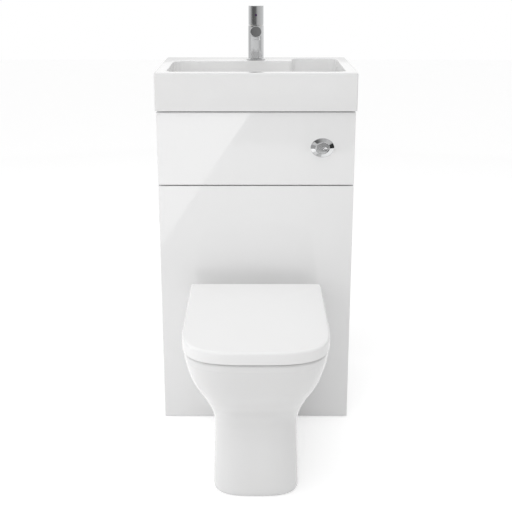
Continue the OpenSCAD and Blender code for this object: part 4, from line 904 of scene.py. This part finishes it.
def build_lid():
    edge, crown = 6, 1.6
    rings = [lid_outline(1.0, 0.5, LID_LOW), lid_outline(0.3, 0.2, LID_LOW + 0.3),
             lid_outline(0, 0, LID_LOW + 1)]
    rings += [lid_outline(inset, inset / 2, z)
              for inset, z in top_edge(edge, LID_TOP - crown, quarter(12, 84))]
    for share in (0.12, 0.25, 0.4, 0.55, 0.7, 0.85, 1.0):
        rise = crown * math.sin(share * math.pi / 2) ** 0.8
        rings.append(lid_outline(edge + 110 * share, 3 + 110 * share, LID_TOP - crown + rise, 8))
    piece = loft("lid_shell", rings)
    levels = ((4.5, RIM_BOW, LID_LOW - 1), (4.5, RIM_BOW, LID_TOP - 8), (7.5, RIM_BOW - 3, LID_TOP - 5))
    cavity = loft("cavity", [
        at(d_outline(LID_HALF - wall, LID_FRONT + wall, LID_BACK + 4, bow, RIM_POWER, 2), z)
        for wall, bow, z in levels])
    hinge_relief = block("relief", (-170, HINGE_Y - 2, LID_LOW - 1), (170, LID_BACK + 1, HINGE_Z - 3), 0.3)
    carve(piece, [cavity, hinge_relief])
    pads, holes = [], []
    for side in (-1, 1):
        x = side * (HINGE_X - 14) - EAR_W / 2
        pads += ear(x, (HINGE_Y - 6, HINGE_Z), (HINGE_Y + 6, LID_TOP - 4))
        pads.append(rod("pad", 6, (side * RING_HALF * 0.8, FRONT_Y - RING_REACH * 0.78, RING_TOP + 0.3),
                        LID_TOP - 4.8 - RING_TOP, edge=0.8, sides=40))
        holes.append(pin_hole(x))
    settle(carve(join(piece, pads), holes), "seat_lid")


def build_seat_ring():
    front = FRONT_Y - RING_REACH
    hole_half, hole_front, hole_back = RING_HALF - 46, front + 46, RING_BACK - 40

    def outer(inset, z):
        return at(d_outline(RING_HALF - inset, front + inset, RING_BACK - inset, RIM_BOW, RIM_POWER, 8), z)

    def hole(grow, z):
        outline = d_outline(hole_half + grow, hole_front - grow, hole_back + grow, 130, BOWL_POWER,
                            hole_half * 0.7, 16)
        return at(outline, z)

    rings = [outer(c, RING_LOW + z) for c, z in ((1.2, 0), (0.3, 0.4), (0, 1.2))]
    rings += [outer(inset, z) for inset, z in top_edge(5, RING_TOP - 1, quarter(18, 72))]
    rings += [outer(c, RING_TOP - z) for c, z in ((6, 0.75), (10, 0.3), (16, 0.05), (20, 0))]
    piece = loft("seat_moulding", rings)
    inner = [hole(1, RING_LOW - 1), hole(1, RING_LOW), hole(0.2, RING_LOW + 0.8), hole(0, RING_LOW + 1.6)]
    inner += [hole(inset, z) for inset, z in top_edge(12, RING_TOP, quarter(15))]
    inner.append(hole(12, RING_TOP + 1))
    carve(piece, [loft("hole", inner)])
    places = (HINGE_X + 8, -HINGE_X - 8 - EAR_W)
    join(piece, [part for x in places for part in ear(x, (RING_BACK - 3, RING_LOW + 3), (HINGE_Y, HINGE_Z))])
    settle(carve(piece, [pin_hole(x) for x in places]), "seat_ring")


build_lid()
build_seat_ring()

# Tap

TAP_R, SPOUT_R, SPOUT_LENGTH = 21.5, 15.5, 110
SPOUT_RISE = math.radians(7)
SPOUT_ROOT = TAP_JOINT - 5 - SPOUT_R / math.cos(SPOUT_RISE) - TAP_R * math.tan(SPOUT_RISE)
SPOUT_TURN = Matrix.Rotation(math.radians(90) - SPOUT_RISE, 3, "X")
AERATOR_Y = TAP_Y - 96


def along_spout(name, profile, start):
    root = Vector((0, TAP_Y, SPOUT_ROOT)) + SPOUT_TURN @ Vector((0, 0, start))
    return lathe(name, profile, root, SPOUT_TURN, 96)


def build_tap():
    foot, joint = low("tap_base_ring", Z), TAP_JOINT
    base, length = foot + 4.5, SPOUT_LENGTH / math.cos(SPOUT_RISE)
    body = [(0, base), (21.1, base), (TAP_R, base + 0.4), (TAP_R, joint - 0.6), (21.3, joint - 0.2),
            (20.9, joint), (0, joint)]
    piece = lathe("tap_casting", body, (0, TAP_Y, 0), "Z", 96)
    spout = [(0, 0), (SPOUT_R, 0), (SPOUT_R, length - 2), (15.3, length - 1.1), (14.8, length - 0.45),
             (14, length - 0.1), (13.4, length), (0, length)]
    join(piece, [along_spout("spout", spout, 0), rod("shank", 16.5, (0, TAP_Y, BASIN_TOP - 14), 20.5)])
    cartridge = rod("cartridge_bore", 17.45, (0, TAP_Y, joint - 43), 60, sides=72)
    water = along_spout("waterway", [(0, 0), (10.5, 0), (10.5, length - 31.5), (0, length - 31.5)], 25.5)
    outlet_low = SPOUT_ROOT - SPOUT_R
    outlet = rod("outlet_bore", 10, (0, AERATOR_Y, outlet_low), SPOUT_LENGTH * math.tan(SPOUT_RISE) + SPOUT_R)
    stud = rod("stud_bore", ROD_HOLE, (0, TAP_Y, BASIN_TOP - 17), 30, sides=32)
    settle(carve(piece, [cartridge, water, outlet, stud]), "tap_body")

    ring = [(16.55, 0), (26.1, 0), (26.5, 0.4), (26.5, 1.4), (26.2, 2), (24.6, 3.9), (24.1, 4.35),
            (23.4, 4.5), (16.55, 4.5)]
    settle(lathe("tap_foot_ring", ring, (0, TAP_Y, foot), "Z", 96), "tap_base_ring")


def build_tap_handle():
    foot, top = TAP_JOINT + 1, TAP_TOP
    shell = [(0, top - 41), (9, top - 41), (9, top - 5), (18.5, top - 5), (18.5, foot), (21.1, foot),
             (TAP_R, foot + 0.4), (TAP_R, top - 1.6), (21.35, top - 0.8), (20.9, top - 0.25), (20.1, top),
             (0, top)]
    piece = lathe("tap_lever", shell, (0, TAP_Y, 0), "Z", 96)
    lift = block("lift_relief", (-23, 0, -22), (23, 43, 0), 0.2)
    lift.data.transform(Matrix.Translation(Vector((0, TAP_Y, foot)) * MM)
                        @ Matrix.Rotation(math.radians(20), 4, "X"))
    socket = block("socket", (-4.05, TAP_Y - 4.05, top - 42), (4.05, TAP_Y + 4.05, top - 27), 0.3)
    recess = rod("dot_recess", 3.05, (0, TAP_Y - 22.5, top - 25), 3, "Y", 40)
    settle(carve(piece, [lift, socket, recess]), "tap_handle")
    dot = [(0, 0), (2.2, 0.02), (2.8, 0.2), (3, 0.5), (3, 1.6), (0, 1.6)]
    settle(lathe("temperature_mark", dot, (0, TAP_Y - 21.3, top - 25), "Y", 40), "handle_dot")


build_tap()
build_tap_handle()

# Flush button: an oval surround with a large key, and a small one inside it

BUTTON_OVAL, BUTTON_PROUD = 0.82, 8
SMALL_X, SMALL_Z = BUTTON_X + 8, BUTTON_Z - 3
SURROUND = [(17.5, 8), (17.5, 0.5), (17.65, 0.12), (18, 0), (18.6, 0.15), (20.5, 1.35), (24, 3.55),
            (27.5, 5.75), (29.2, 6.85), (29.75, 7.4), (30, 8)]


def oval(r, y):
    """The button's oval of half width r, on the plane at y."""
    turns = np.linspace(0, math.tau, 96, endpoint=False)
    return [(BUTTON_X + r * math.cos(a), y, BUTTON_Z + r * BUTTON_OVAL * math.sin(a)) for a in turns]


def build_flush_button():
    face = FRONT_Y - BUTTON_PROUD
    head = loft("flush_surround", [oval(r, face + y) for r, y in SURROUND], is_hoop=True)
    sleeve = rod("sleeve", 22.5, (BUTTON_X, face + 7.5, BUTTON_Z), 42.5, "Y", 72, inner=20.5, edge=0.6)
    plate = rod("guide", 21, (BUTTON_X, CARCASS_Y + 16, BUTTON_Z), 4, "Y")
    carve(plate, [rod("guide_hole", 3.05, (x, CARCASS_Y + 15, z), 6, "Y", 32)
                  for x, z in ((BUTTON_X - 5, BUTTON_Z), (SMALL_X, SMALL_Z))])
    turns = thread("sleeve_thread", "flush_bezel", (BUTTON_X, CARCASS_Y + 9, BUTTON_Z), 22.5, 1.5, 14, 0.3,
                   "Y")
    settle(add(head, sleeve, plate, turns), "flush_bezel")

    top, stem_start, stem_length = face + 0.5, face + 6, CARCASS_Y + 15 - face
    rows = ((16, 0), (16.3, 0), (16.75, 0.1), (16.95, 0.3), (17, 0.6), (17, 6))
    key = loft("full_flush_key", [oval(r, top + y) for r, y in rows])
    opening = [(0, -1), (7.9, -1), (7.5, 0), (7.1, 0.3), (6.95, 0.8), (6.9, 7), (0, 7)]
    carve(key, [lathe("hole", opening, (SMALL_X, top, SMALL_Z), "Y", 72)])
    join(key, [rod("stem", 3, (BUTTON_X - 5, stem_start, BUTTON_Z), stem_length, "Y", 32)])
    settle(key, "full_button")
    small = [(0, 0.05), (3, 0.03), (5.2, 0), (5.6, 0), (6.1, 0.15), (6.4, 0.6), (6.5, 1.2), (6.5, 6), (0, 6)]
    key = lathe("half_flush_key", small, (SMALL_X, top, SMALL_Z), "Y", 72)
    join(key, [rod("stem", 3, (SMALL_X, stem_start, SMALL_Z), stem_length, "Y", 32)])
    settle(key, "half_button")


build_flush_button()

# Carcass: boards with broken edges, dowels, studs and brackets

RAILS = ["top_front_rail", "top_back_rail", "middle_rail", "bottom_front_rail", "bottom_back_rail",
         "cistern_shelf"]


def mark_cut_edges(piece, thickness):
    """Marks every face that doesn't lie across the board's thickness, apart from the lipped front edges."""
    marks = piece.data.attributes.new("cut_edge", "FLOAT", "FACE")
    for face in piece.data.polygons:
        across = abs(face.normal[thickness]) > 0.3
        marks.data[face.index].value = 0.0 if across or face.normal[Y] < -0.9 else 1.0


def build_boards():
    for name in ["side_panel_left", "side_panel_right"] + RAILS:
        depths = [high(name, axis) - low(name, axis) for axis in (X, Y, Z)]
        mark_cut_edges(soften(name, 0.4), depths.index(min(depths)))


def build_dowels():
    """Fluted dowels across every joint of a rail and a side panel."""
    inner, parts = low("side_panel_right", X), []
    for name in RAILS:
        y, z = middle(name, Y), middle(name, Z)
        wide = high(name, Y) - low(name, Y) > high(name, Z) - low(name, Z)
        y, z = (y - 20, z) if wide else (y, z - 20)
        for x in (inner - 22, -inner - 8):
            parts.append(rod("fluted_dowel", 3.8, (x, y, z), 30, "X", 24, edge=1.2))
            flutes = grow("flutes", RIBS, "wooden_dowels", Count=18, Radius=3.7, Depth=0.28, Width=0.4,
                          Height=27.0)
            parts.append(place(flutes, (x + 1.5, y, z), "X"))
    settle(add(*parts), "wooden_dowels")


build_boards()
soften_all(0.35, "panel_studs", "wall_brackets", "bracket_screws", "floor_brackets")
build_dowels()

# Trap and pipes under the basin

TRAP_TOP = WASTE_END - 3
STUB_Z = TRAP_TOP - 30
UNION_NUT = [(25.05, 0), (30, 0), (31, 1), (31, 18), (29.6, 20), (20.05, 20), (20.05, 15), (25.05, 15)]
BOTTLE = [(27, -74), (30, -74), (30, -5), (29.2, -2.2), (27, -0.4), (25, 1), (25, 14), (20.05, 14),
          (20.05, -3), (27, -3)]
STUB_BEAD = [(20, 44), (21.4, 44), (22, 44.8), (22, 48), (21.4, 48.8), (20, 48.8)]
CUP = [(0, 0), (24, 0), (28.5, 1), (31, 3.6), (32, 7), (32, 49), (31.4, 50), (30.05, 50), (30.05, 38),
       (27, 38), (27, 8), (25, 4.4), (21, 3), (0, 3)]


def build_trap():
    centre = (0, WASTE_Y, TRAP_TOP)
    nut = lathe("trap_union_nut", UNION_NUT, centre, "Z", 72)
    ribs = grow("ribs", RIBS, "trap_nut", Count=8, Radius=30.9, Depth=2.1, Width=2.0, Height=18.4)
    settle(add(nut, place(ribs, (0, WASTE_Y, TRAP_TOP + 0.8))), "trap_nut")

    body = lathe("trap_bottle", [(r, TRAP_TOP + z) for r, z in BOTTLE], (0, WASTE_Y, 0), "Z", 72)
    join(body, [rod("stub", 21, (0, WASTE_Y, STUB_Z), 50, "Y", 56, edge=1)])
    bead = lathe("bead", STUB_BEAD, (0, WASTE_Y, STUB_Z), "Y", 56)
    core = rod("core", 27, (0, WASTE_Y, TRAP_TOP - 72), 69, "Z", 72)
    carve(body, [core, rod("bore", 16.05, (0, WASTE_Y, STUB_Z), 52, "Y", 56)])
    settle(add(body, bead), "trap_body")

    foot = low("trap_cup", Z)
    ribs = grow("ribs", RIBS, "trap_cup", Count=12, Radius=31.9, Depth=1.6, Width=1.5, Height=40.0)
    cup = lathe("trap_bowl", CUP, (0, WASTE_Y, foot), "Z", 72)
    settle(add(cup, place(ribs, (0, WASTE_Y, foot + 6))), "trap_cup")

    start, stop, collar = low("waste_pipe", Y), high("waste_pipe", Y), WASTE_Y + 50
    pipe = [(14, start + 0.4), (15.6, start), (16, start + 0.4), (16, collar), (19.4, collar),
            (20, collar + 0.6), (20, collar + 3.4), (19.4, collar + 4), (16.6, collar + 4),
            (16, collar + 4.8), (16, stop - 0.6), (15.5, stop), (14.4, stop), (14, stop - 0.4)]
    settle(lathe("waste_run", pipe, (0, 0, STUB_Z), "Y"), "waste_pipe")


soften_all(1.0, "waste_seal")
soften_all(0.6, "waste_nut")
build_trap()

# Works of the tap

FLOW_RING = [(7, 0.6), (7.4, 0), (10.3, 0), (10.9, 0.4), (11, 1), (11, 2.6), (10.6, 3), (9.95, 3.2)]


def build_tap_works():
    foot = low("tap_stud", Z)
    stud = rod("mounting_stud", 3.7, (0, TAP_Y, foot), high("tap_stud", Z) - foot, "Z", 32, edge=0.6)
    turns = thread("stud_thread", "tap_stud", (0, TAP_Y, foot + 1), 3.72, 1.25, 42, 0.28)
    settle(add(stud, turns), "tap_stud")

    foot = low("aerator", Z)
    tall = high("aerator", Z) - foot
    profile = FLOW_RING + [(9.95, tall), (0, tall), (0, 3.2), (7, 3.2)]
    ring = lathe("flow_straightener", profile, (0, AERATOR_Y, foot), "Z", 72)
    nozzles = grow("nozzles", NOZZLES, "aerator", Spacing=2.1, Reach=6.6, Radius=0.75, Height=2.0)
    settle(add(ring, place(nozzles, (0, AERATOR_Y, foot + 1.4))), "aerator")


soften_all(0.3, "tap_cartridge", "cartridge_nut", "cartridge_turret", "lever_stem", "tap_clamp")
build_tap_works()

# Cistern

FILL_X, CABLE_X, VALVE_Z = -150, 60, 690
TANK_WALL, TANK_CORNER = 4, 14
TANK_X = high("cistern_tank", X)
TANK_FRONT, TANK_BACK = low("cistern_tank", Y), high("cistern_tank", Y)
TANK_LOW, TANK_TOP = low("cistern_tank", Z), high("cistern_tank", Z)
FILL_HEAD = [(0, -22), (17, -22), (18.6, -20.6), (18.6, -6), (20, -4), (20, 4), (18.4, 6), (18.4, 18),
             (16, 21.4), (12, 22), (0, 22)]


def tank_outline(inset):
    return box_outline(-TANK_X + inset, TANK_X - inset, TANK_FRONT + inset, TANK_BACK - inset,
                       max(TANK_CORNER - inset, 3), 8)


def tank_band(name, *rows):
    """A solid through outlines of the tank, given by their inset and their height over the tank's top."""
    return loft(name, [at(tank_outline(inset), TANK_TOP + z) for inset, z in rows])


def build_tank():
    tank = loft("tank_shell", edge_rings(tank_outline, TANK_LOW, TANK_TOP, 6, 0.8, 5))
    hollow = edge_rings(lambda inset: tank_outline(TANK_WALL + inset), TANK_LOW + TANK_WALL,
                        TANK_TOP + 1, 5, 0.1)
    outlet_hole = rod("outlet_hole", 29.55, (0, CISTERN_Y, TANK_LOW - 1), 8)
    tail_hole = rod("tail_hole", 10.45, (FILL_X, CISTERN_Y, TANK_LOW - 1), 8, "Z", 40)
    carve(tank, [loft("hollow", hollow), outlet_hole, tail_hole])
    rim = tank_band("rim", (0.6, -9), (-0.9, -7.5), (-0.9, -5.5), (0.6, -4))
    parts = [tank, carve(rim, [tank_band("rim_core", (2, -10), (2, -3))])]
    for y in (TANK_BACK - 1.2, TANK_FRONT + 1.2):
        ribs = grow("ribs", WALL_RIBS, "cistern_tank", Count=9, Span=2 * TANK_X - 96.0, Depth=2.4, Width=3.2,
                    Height=TANK_TOP - TANK_LOW - 60.0)
        parts.append(place(ribs, (0, y, TANK_LOW + 24)))
    settle(add(*parts), "cistern_tank")


def build_tank_lid():
    lid_top = high("cistern_lid", Z)
    lid = loft("tank_cover", edge_rings(tank_outline, TANK_TOP, lid_top, 0.6, 3))
    join(lid, [tank_band("skirt", (4.5, -6), (4.5, 1))])
    cable_hole = rod("cable_hole", 3.5, (CABLE_X, CISTERN_Y, TANK_TOP - 1), 9, "Z", 32)
    carve(lid, [tank_band("space", (10, -7), (10, 3)), cable_hole])
    rows = ((26, 22, 8, lid_top - 1.2), (24, 20, 9, lid_top + 1))
    panel = loft("panel", [
        at(box_outline(side - TANK_X, TANK_X - side, TANK_FRONT + end, TANK_BACK - end, r, 6), z)
        for side, end, r, z in rows])
    carve(panel, [rod("boss", 12, (CABLE_X, CISTERN_Y, lid_top - 3), 6, "Z", 40)])
    settle(carve(lid, [panel]), "cistern_lid")


def build_fill_valve():
    def on_axis(z):
        return FILL_X, CISTERN_Y, z

    tail = rod("fill_valve_body", 10.2, on_axis(TANK_LOW - 40), 45, "Z", 40, edge=0.8)
    nuts = [hexagon("lock_nut", 14.4, on_axis(TANK_LOW + z), 8) for z in (-8, 4)]
    riser = rod("riser", 9, on_axis(TANK_LOW + 4), VALVE_Z - TANK_LOW - 4, "Z", 40)
    head = lathe("head", FILL_HEAD, on_axis(VALVE_Z), "Z", 56)
    turns = thread("tail_thread", "fill_valve", on_axis(TANK_LOW - 38), 10.2, 1.8, 29, 0.35)
    grip = grow("grip", RIBS, "fill_valve", Count=20, Radius=18.3, Depth=0.9, Width=1.1, Height=10.0)
    settle(add(tail, *nuts, riser, head, turns, place(grip, on_axis(VALVE_Z + 7))), "fill_valve")


build_tank()
build_tank_lid()
build_fill_valve()
soften_all(1.2, "fill_float")
soften_all(0.5, "flush_valve", "lift_tube", "half_flush_slider")
soften_all(1.0, "outlet_nut")

# Flush pipe with its rubber seal, and the cable from the button to the flush valve

PIPE_BEND = 60
SEAL_LIPS = [(20.05, 0), (26.4, 0), (27.6, 2.6), (27.9, 6), (27.0, 8), (27.9, 11), (27.9, 14), (27.0, 16),
             (27.9, 19)]


def build_flush_pipe():
    end = low("flush_pipe", Y)

    def middle_line(extra):
        bend = [(0, CISTERN_Y - PIPE_BEND * (1 - math.cos(a)), INLET_Z + PIPE_BEND * (1 - math.sin(a)))
                for a in quarter(5)]
        return [(0, CISTERN_Y, TANK_LOW + extra)] + bend + [(0, end - extra, INLET_Z)]

    pipe = sweep("flush_bend", "flush_pipe", middle_line(0), 20, 56, 90)
    bore = sweep("bore", "flush_pipe", middle_line(1.5), 17.5, 56, 90)
    settle(carve(pipe, [bore]), "flush_pipe")
    start, flange, stop = low("flush_seal", Y), FRONT_Y, high("flush_seal", Y)
    seal = [(r, start + y) for r, y in SEAL_LIPS] + [(27.9, flange), (32, flange), (33, flange + 1),
                                                     (33, flange + 3), (32, stop), (20.05, stop)]
    settle(lathe("inlet_seal", seal, (0, 0, INLET_Z), "Y"), "flush_seal")


def build_flush_cable():
    leaves, tank_top = CARCASS_Y + 43, TANK_TOP
    route = [(BUTTON_X, leaves, BUTTON_Z), (BUTTON_X, leaves + 40, BUTTON_Z + 3), (150, 235, BUTTON_Z + 40),
             (122, 295, BUTTON_Z + 58), (88, 332, BUTTON_Z + 50), (63, CISTERN_Y, BUTTON_Z + 18),
             (CABLE_X, CISTERN_Y, tank_top), (CABLE_X, CISTERN_Y, tank_top - 92)]
    route = [tuple(p) for p in curve_rows(route, 8)]
    settle(sweep("flush_cable_sheath", "flush_cable", route, 3, 20, 110), "flush_cable")


build_flush_pipe()
build_flush_cable()
soften_all(0.8, "bezel_nut")
soften_all(0.6, "cable_housing")

# Fixings of the pan and hinges of the seat

SCREW_CAP = [(0, 3), (2.5, 2.95), (5, 2.6), (6.8, 1.9), (7.7, 1.0), (8, 0.3), (8, 0), (0, 0)]
BUMPER_H = RING_LOW - RIM_Z - 0.2
BUMPER = [(0, 0), (4.6, 0.15), (6.6, 0.7), (7.6, 1.6), (8, 2.8), (8, BUMPER_H), (0, BUMPER_H)]
POST = [(0, 0), (15.4, 0), (16, 0.5), (16, 1.4), (15, 2.6), (12, 3), (8, 3.6), (7, 5), (7, HINGE_Z - RIM_Z),
        (0, HINGE_Z - RIM_Z)]


def build_side_screws():
    parts, inner = [], FOOT_HALF - 23
    for side, turn in ((-1, Matrix.Rotation(math.radians(-90), 3, "Y")), (1, "X")):
        parts.append(rod("side_screw", 3, (side * inner, SCREW_Y, SCREW_Z), FOOT_HALF - inner, turn, 32,
                         edge=0.4))
        parts.append(lathe("cap", SCREW_CAP, (side * (FOOT_HALF + 0.3), SCREW_Y, SCREW_Z), turn, 48))
    settle(add(*parts), "side_screws")


def build_bumpers():
    places = [(side * (RING_HALF * 0.8 + 2), FRONT_Y - RING_REACH * reach) for reach in (0.35, 0.75)
              for side in (-1, 1)]
    settle(add(*[lathe("ring_buffer", BUMPER, (x, y, RIM_Z + 0.2), "Z", 40) for x, y in places]),
           "ring_bumpers")


def build_hinge_posts():
    posts = []
    for x in (-HINGE_X, HINGE_X):
        head = rod("hinge_post", 7.5, (x - 7.5, HINGE_Y, HINGE_Z), 15, "X", 48, edge=0.8)
        pin = rod("pin", 4, (x - 20, HINGE_Y, HINGE_Z), 40, "X", 32, edge=0.5)
        column = lathe("column", POST, (x, HINGE_Y, RIM_Z), "Z", 48)
        stud = rod("stud", 3.75, (x, HINGE_Y, RIM_Z - 46), 47, "Z", 32, edge=0.5)
        turns = thread("stud_thread", "hinge_posts", (x, HINGE_Y, RIM_Z - 45), 3.75, 1.25, 42, 0.25)
        posts += [head, pin, column, stud, turns]
    settle(add(*posts), "hinge_posts")


build_side_screws()
build_bumpers()
build_hinge_posts()
soften_all(0.9, "wing_nuts")

# Studio: pale floor, soft lamps, white surroundings, and what only the chrome and the lacquer mirror

WORLD_LIGHT, FLOOR_GREY, FLOOR_GLOW, FLOOR_REACH = 0.665, 0.8, 0.42, 9000
SCREEN_REACH, SCREEN_SPLIT, ROOM_TOP = 520, 1001, 2600


def light_path_mix(tree, seen, unseen):
    """Shows one shader to the camera and in reflections, and another to the light on the object."""
    path = tree.nodes.new("ShaderNodeLightPath").outputs
    first = maths(tree, "MAXIMUM", path["Is Camera Ray"], path["Is Glossy Ray"])
    every = maths(tree, "MAXIMUM", first, path["Is Transmission Ray"])
    both = tree.nodes.new("ShaderNodeMixShader")
    for socket, source in enumerate((every, unseen, seen)):
        tree.links.new(source, both.inputs[socket])
    return both.outputs[0]


def build_world():
    world = bpy.data.worlds.new("studio")
    SCENE.world = world
    world.use_nodes = True
    tree = world.node_tree
    tree.nodes.clear()
    seen, unseen = [node(tree, "ShaderNodeBackground", [("Color", WHITE), ("Strength", strength)]).outputs[0]
                    for strength in (1.0, WORLD_LIGHT)]
    out = tree.nodes.new("ShaderNodeOutputWorld")
    tree.links.new(light_path_mix(tree, seen, unseen), out.inputs["Surface"])


def build_floor():
    corners = [(x * FLOOR_REACH, y * FLOOR_REACH, 0) for x, y in ((-1, -1), (1, -1), (1, 1), (-1, 1))]
    floor = make_mesh("floor", corners, [(0, 1, 2, 3)])
    made, tree = new_material("studio_floor")
    shader = tree.nodes["Principled BSDF"]
    shader.inputs["Base Color"].default_value = grey(FLOOR_GREY)
    shader.inputs["Roughness"].default_value = 0.9
    glow = node(tree, "ShaderNodeEmission", [("Color", WHITE), ("Strength", FLOOR_GLOW)])
    both = tree.nodes.new("ShaderNodeAddShader")
    tree.links.new(shader.outputs[0], both.inputs[0])
    tree.links.new(glow.outputs[0], both.inputs[1])
    out = tree.nodes["Material Output"]
    tree.links.new(light_path_mix(tree, both.outputs[0], shader.outputs[0]), out.inputs["Surface"])
    floor.data.materials.append(made)


def softbox(name, where, aim, side, power):
    data = bpy.data.lights.new(name, "AREA")
    data.shape, data.size, data.size_y, data.energy = "RECTANGLE", side, side, power
    lamp = put(name, data)
    lamp.location = where
    lamp.rotation_euler = (Vector(aim) - Vector(where)).to_track_quat("-Z", "Y").to_euler()


def show_in_mirrors(piece, radiance, tone=None):
    """Gives a piece of the studio a glow that only reflections see; tone makes its colour in the tree."""
    paint, tree = new_material(piece.name)
    tree.nodes.clear()
    tint = tone(tree) if tone else WHITE
    glow = node(tree, "ShaderNodeEmission", [("Color", tint), ("Strength", radiance)])
    tree.links.new(glow.outputs[0], tree.nodes.new("ShaderNodeOutputMaterial").inputs["Surface"])
    piece.data.materials.append(paint)
    piece.visible_camera = piece.visible_diffuse = piece.visible_shadow = piece.visible_transmission = False


def card(name, corners, radiance):
    """A flag or reflector through corners in millimetres."""
    show_in_mirrors(make_mesh(name, corners, [tuple(range(len(corners)))]), radiance)


def drum(name, centre, reach, bottom, top, tones):
    """A round wall. Its tone changes with the bearing from its centre: 0 is ahead, 90 to the right."""
    sides, first, last = 120, math.radians(tones[0][0]), math.radians(tones[-1][0])
    bearings = [mix(first, last, i / sides) for i in range(sides + 1)]
    around = [(centre[0] + reach * math.sin(a), centre[1] - reach * math.cos(a)) for a in bearings]
    faces = [(i, i + 1, i + sides + 2, i + sides + 1) for i in range(sides)]

    def tone(tree):
        shift = (-centre[0] * MM, -centre[1] * MM, 0)
        spot = node(tree, "ShaderNodeVectorMath", [(0, object_coords(tree)), (1, shift)], operation="ADD")
        parts = node(tree, "ShaderNodeSeparateXYZ", [(0, spot.outputs[0])]).outputs
        bearing = maths(tree, "ARCTAN2", parts["X"], maths(tree, "MULTIPLY", parts["Y"], -1.0))
        ramp = node(tree, "ShaderNodeValToRGB", [("Fac", spread(tree, bearing, -math.pi, math.pi))])
        ramp.color_ramp.interpolation = "EASE"
        stops = ramp.color_ramp.elements
        while len(stops) < len(tones):
            stops.new(0.5)
        for stop, (angle, value) in zip(stops, tones):
            stop.position = (angle + 180) / 360
            stop.color = (value, value, value, 1)
        return ramp.outputs["Color"]

    show_in_mirrors(make_mesh(name, at(around, bottom) + at(around, top), faces), 1.0, tone)


build_world()
build_floor()
softbox("front_softbox", (-0.6, -3.4, 1.3), (0, 0, 0.5), 2.0, 9)
softbox("top_softbox", (0, -0.9, 2.9), (0, -0.4, 0.4), 1.6, 17)
softbox("left_softbox", (-2.6, -0.6, 1.0), (0, 0, 0.5), 1.4, 16)
card("window_reflector", [(-22, -1438, 593), (-450, -1438, -45), (-700, -1438, -45), (-700, -1438, 593)], 2.2)
drum("room_wall", (0, 0), 3700, 0, ROOM_TOP, [(-180, 0.5), (180, 0.5)])
drum("upper_screen", (0, TAP_Y), SCREEN_REACH, SCREEN_SPLIT, 1260,
     [(-180, 1.1), (-144, 1.1), (-130, 0.8), (-108, 0.72), (-46, 0.12), (-12, 0.13), (34, 0.55), (90, 0.68),
      (130, 0.8), (144, 1.1), (180, 1.1)])
drum("lower_screen", (0, TAP_Y), SCREEN_REACH, 860, SCREEN_SPLIT,
     [(-180, 0.9), (-95, 0.62), (-62, 0.78), (20, 0.72), (66, 0.5), (105, 0.82), (180, 0.9)])
card("overhead_flag", [(-2700, -3700, ROOM_TOP), (2700, -3700, ROOM_TOP), (2700, 800, ROOM_TOP),
                       (-2700, 800, ROOM_TOP)], 0.46)
card("button_skirting", [(300, -3400, 0), (620, -3400, 0), (620, -3400, 300), (300, -3400, 300)], 0.3)
card("left_flag", [(-1500, -1400, 150), (-1500, 500, 150), (-1500, 500, 1500), (-1500, -1400, 1500)], 0.42)
drum("right_flag", (BUTTON_X, FRONT_Y), 1500, 380, 1300, [(46, 0.04), (122, 0.04)])

# Camera: pitched down a little, with its focal length in pixels of the photo's width

FOCAL_PX, IMAGE_PX, SHIFT_PX, SENSOR = 888.8, 512, -46, 36
CAMERA_PLACE, CAMERA_PITCH = (0, -2.1428, 1.2175), 15.83
lens = bpy.data.cameras.new("camera")
lens.sensor_width = SENSOR
lens.lens = FOCAL_PX / IMAGE_PX * SENSOR
lens.shift_y = SHIFT_PX / IMAGE_PX
lens.clip_end = 50
camera = put("camera", lens)
camera.location = CAMERA_PLACE
camera.rotation_euler = (math.radians(90 - CAMERA_PITCH), 0, 0)
SCENE.camera = camera
SCENE.view_settings.view_transform = "Standard"

for name, made in frame["nodes"].items():
    made.data.materials.clear()
    made.data.materials.append(FINISH[SLOT_OF[name]])
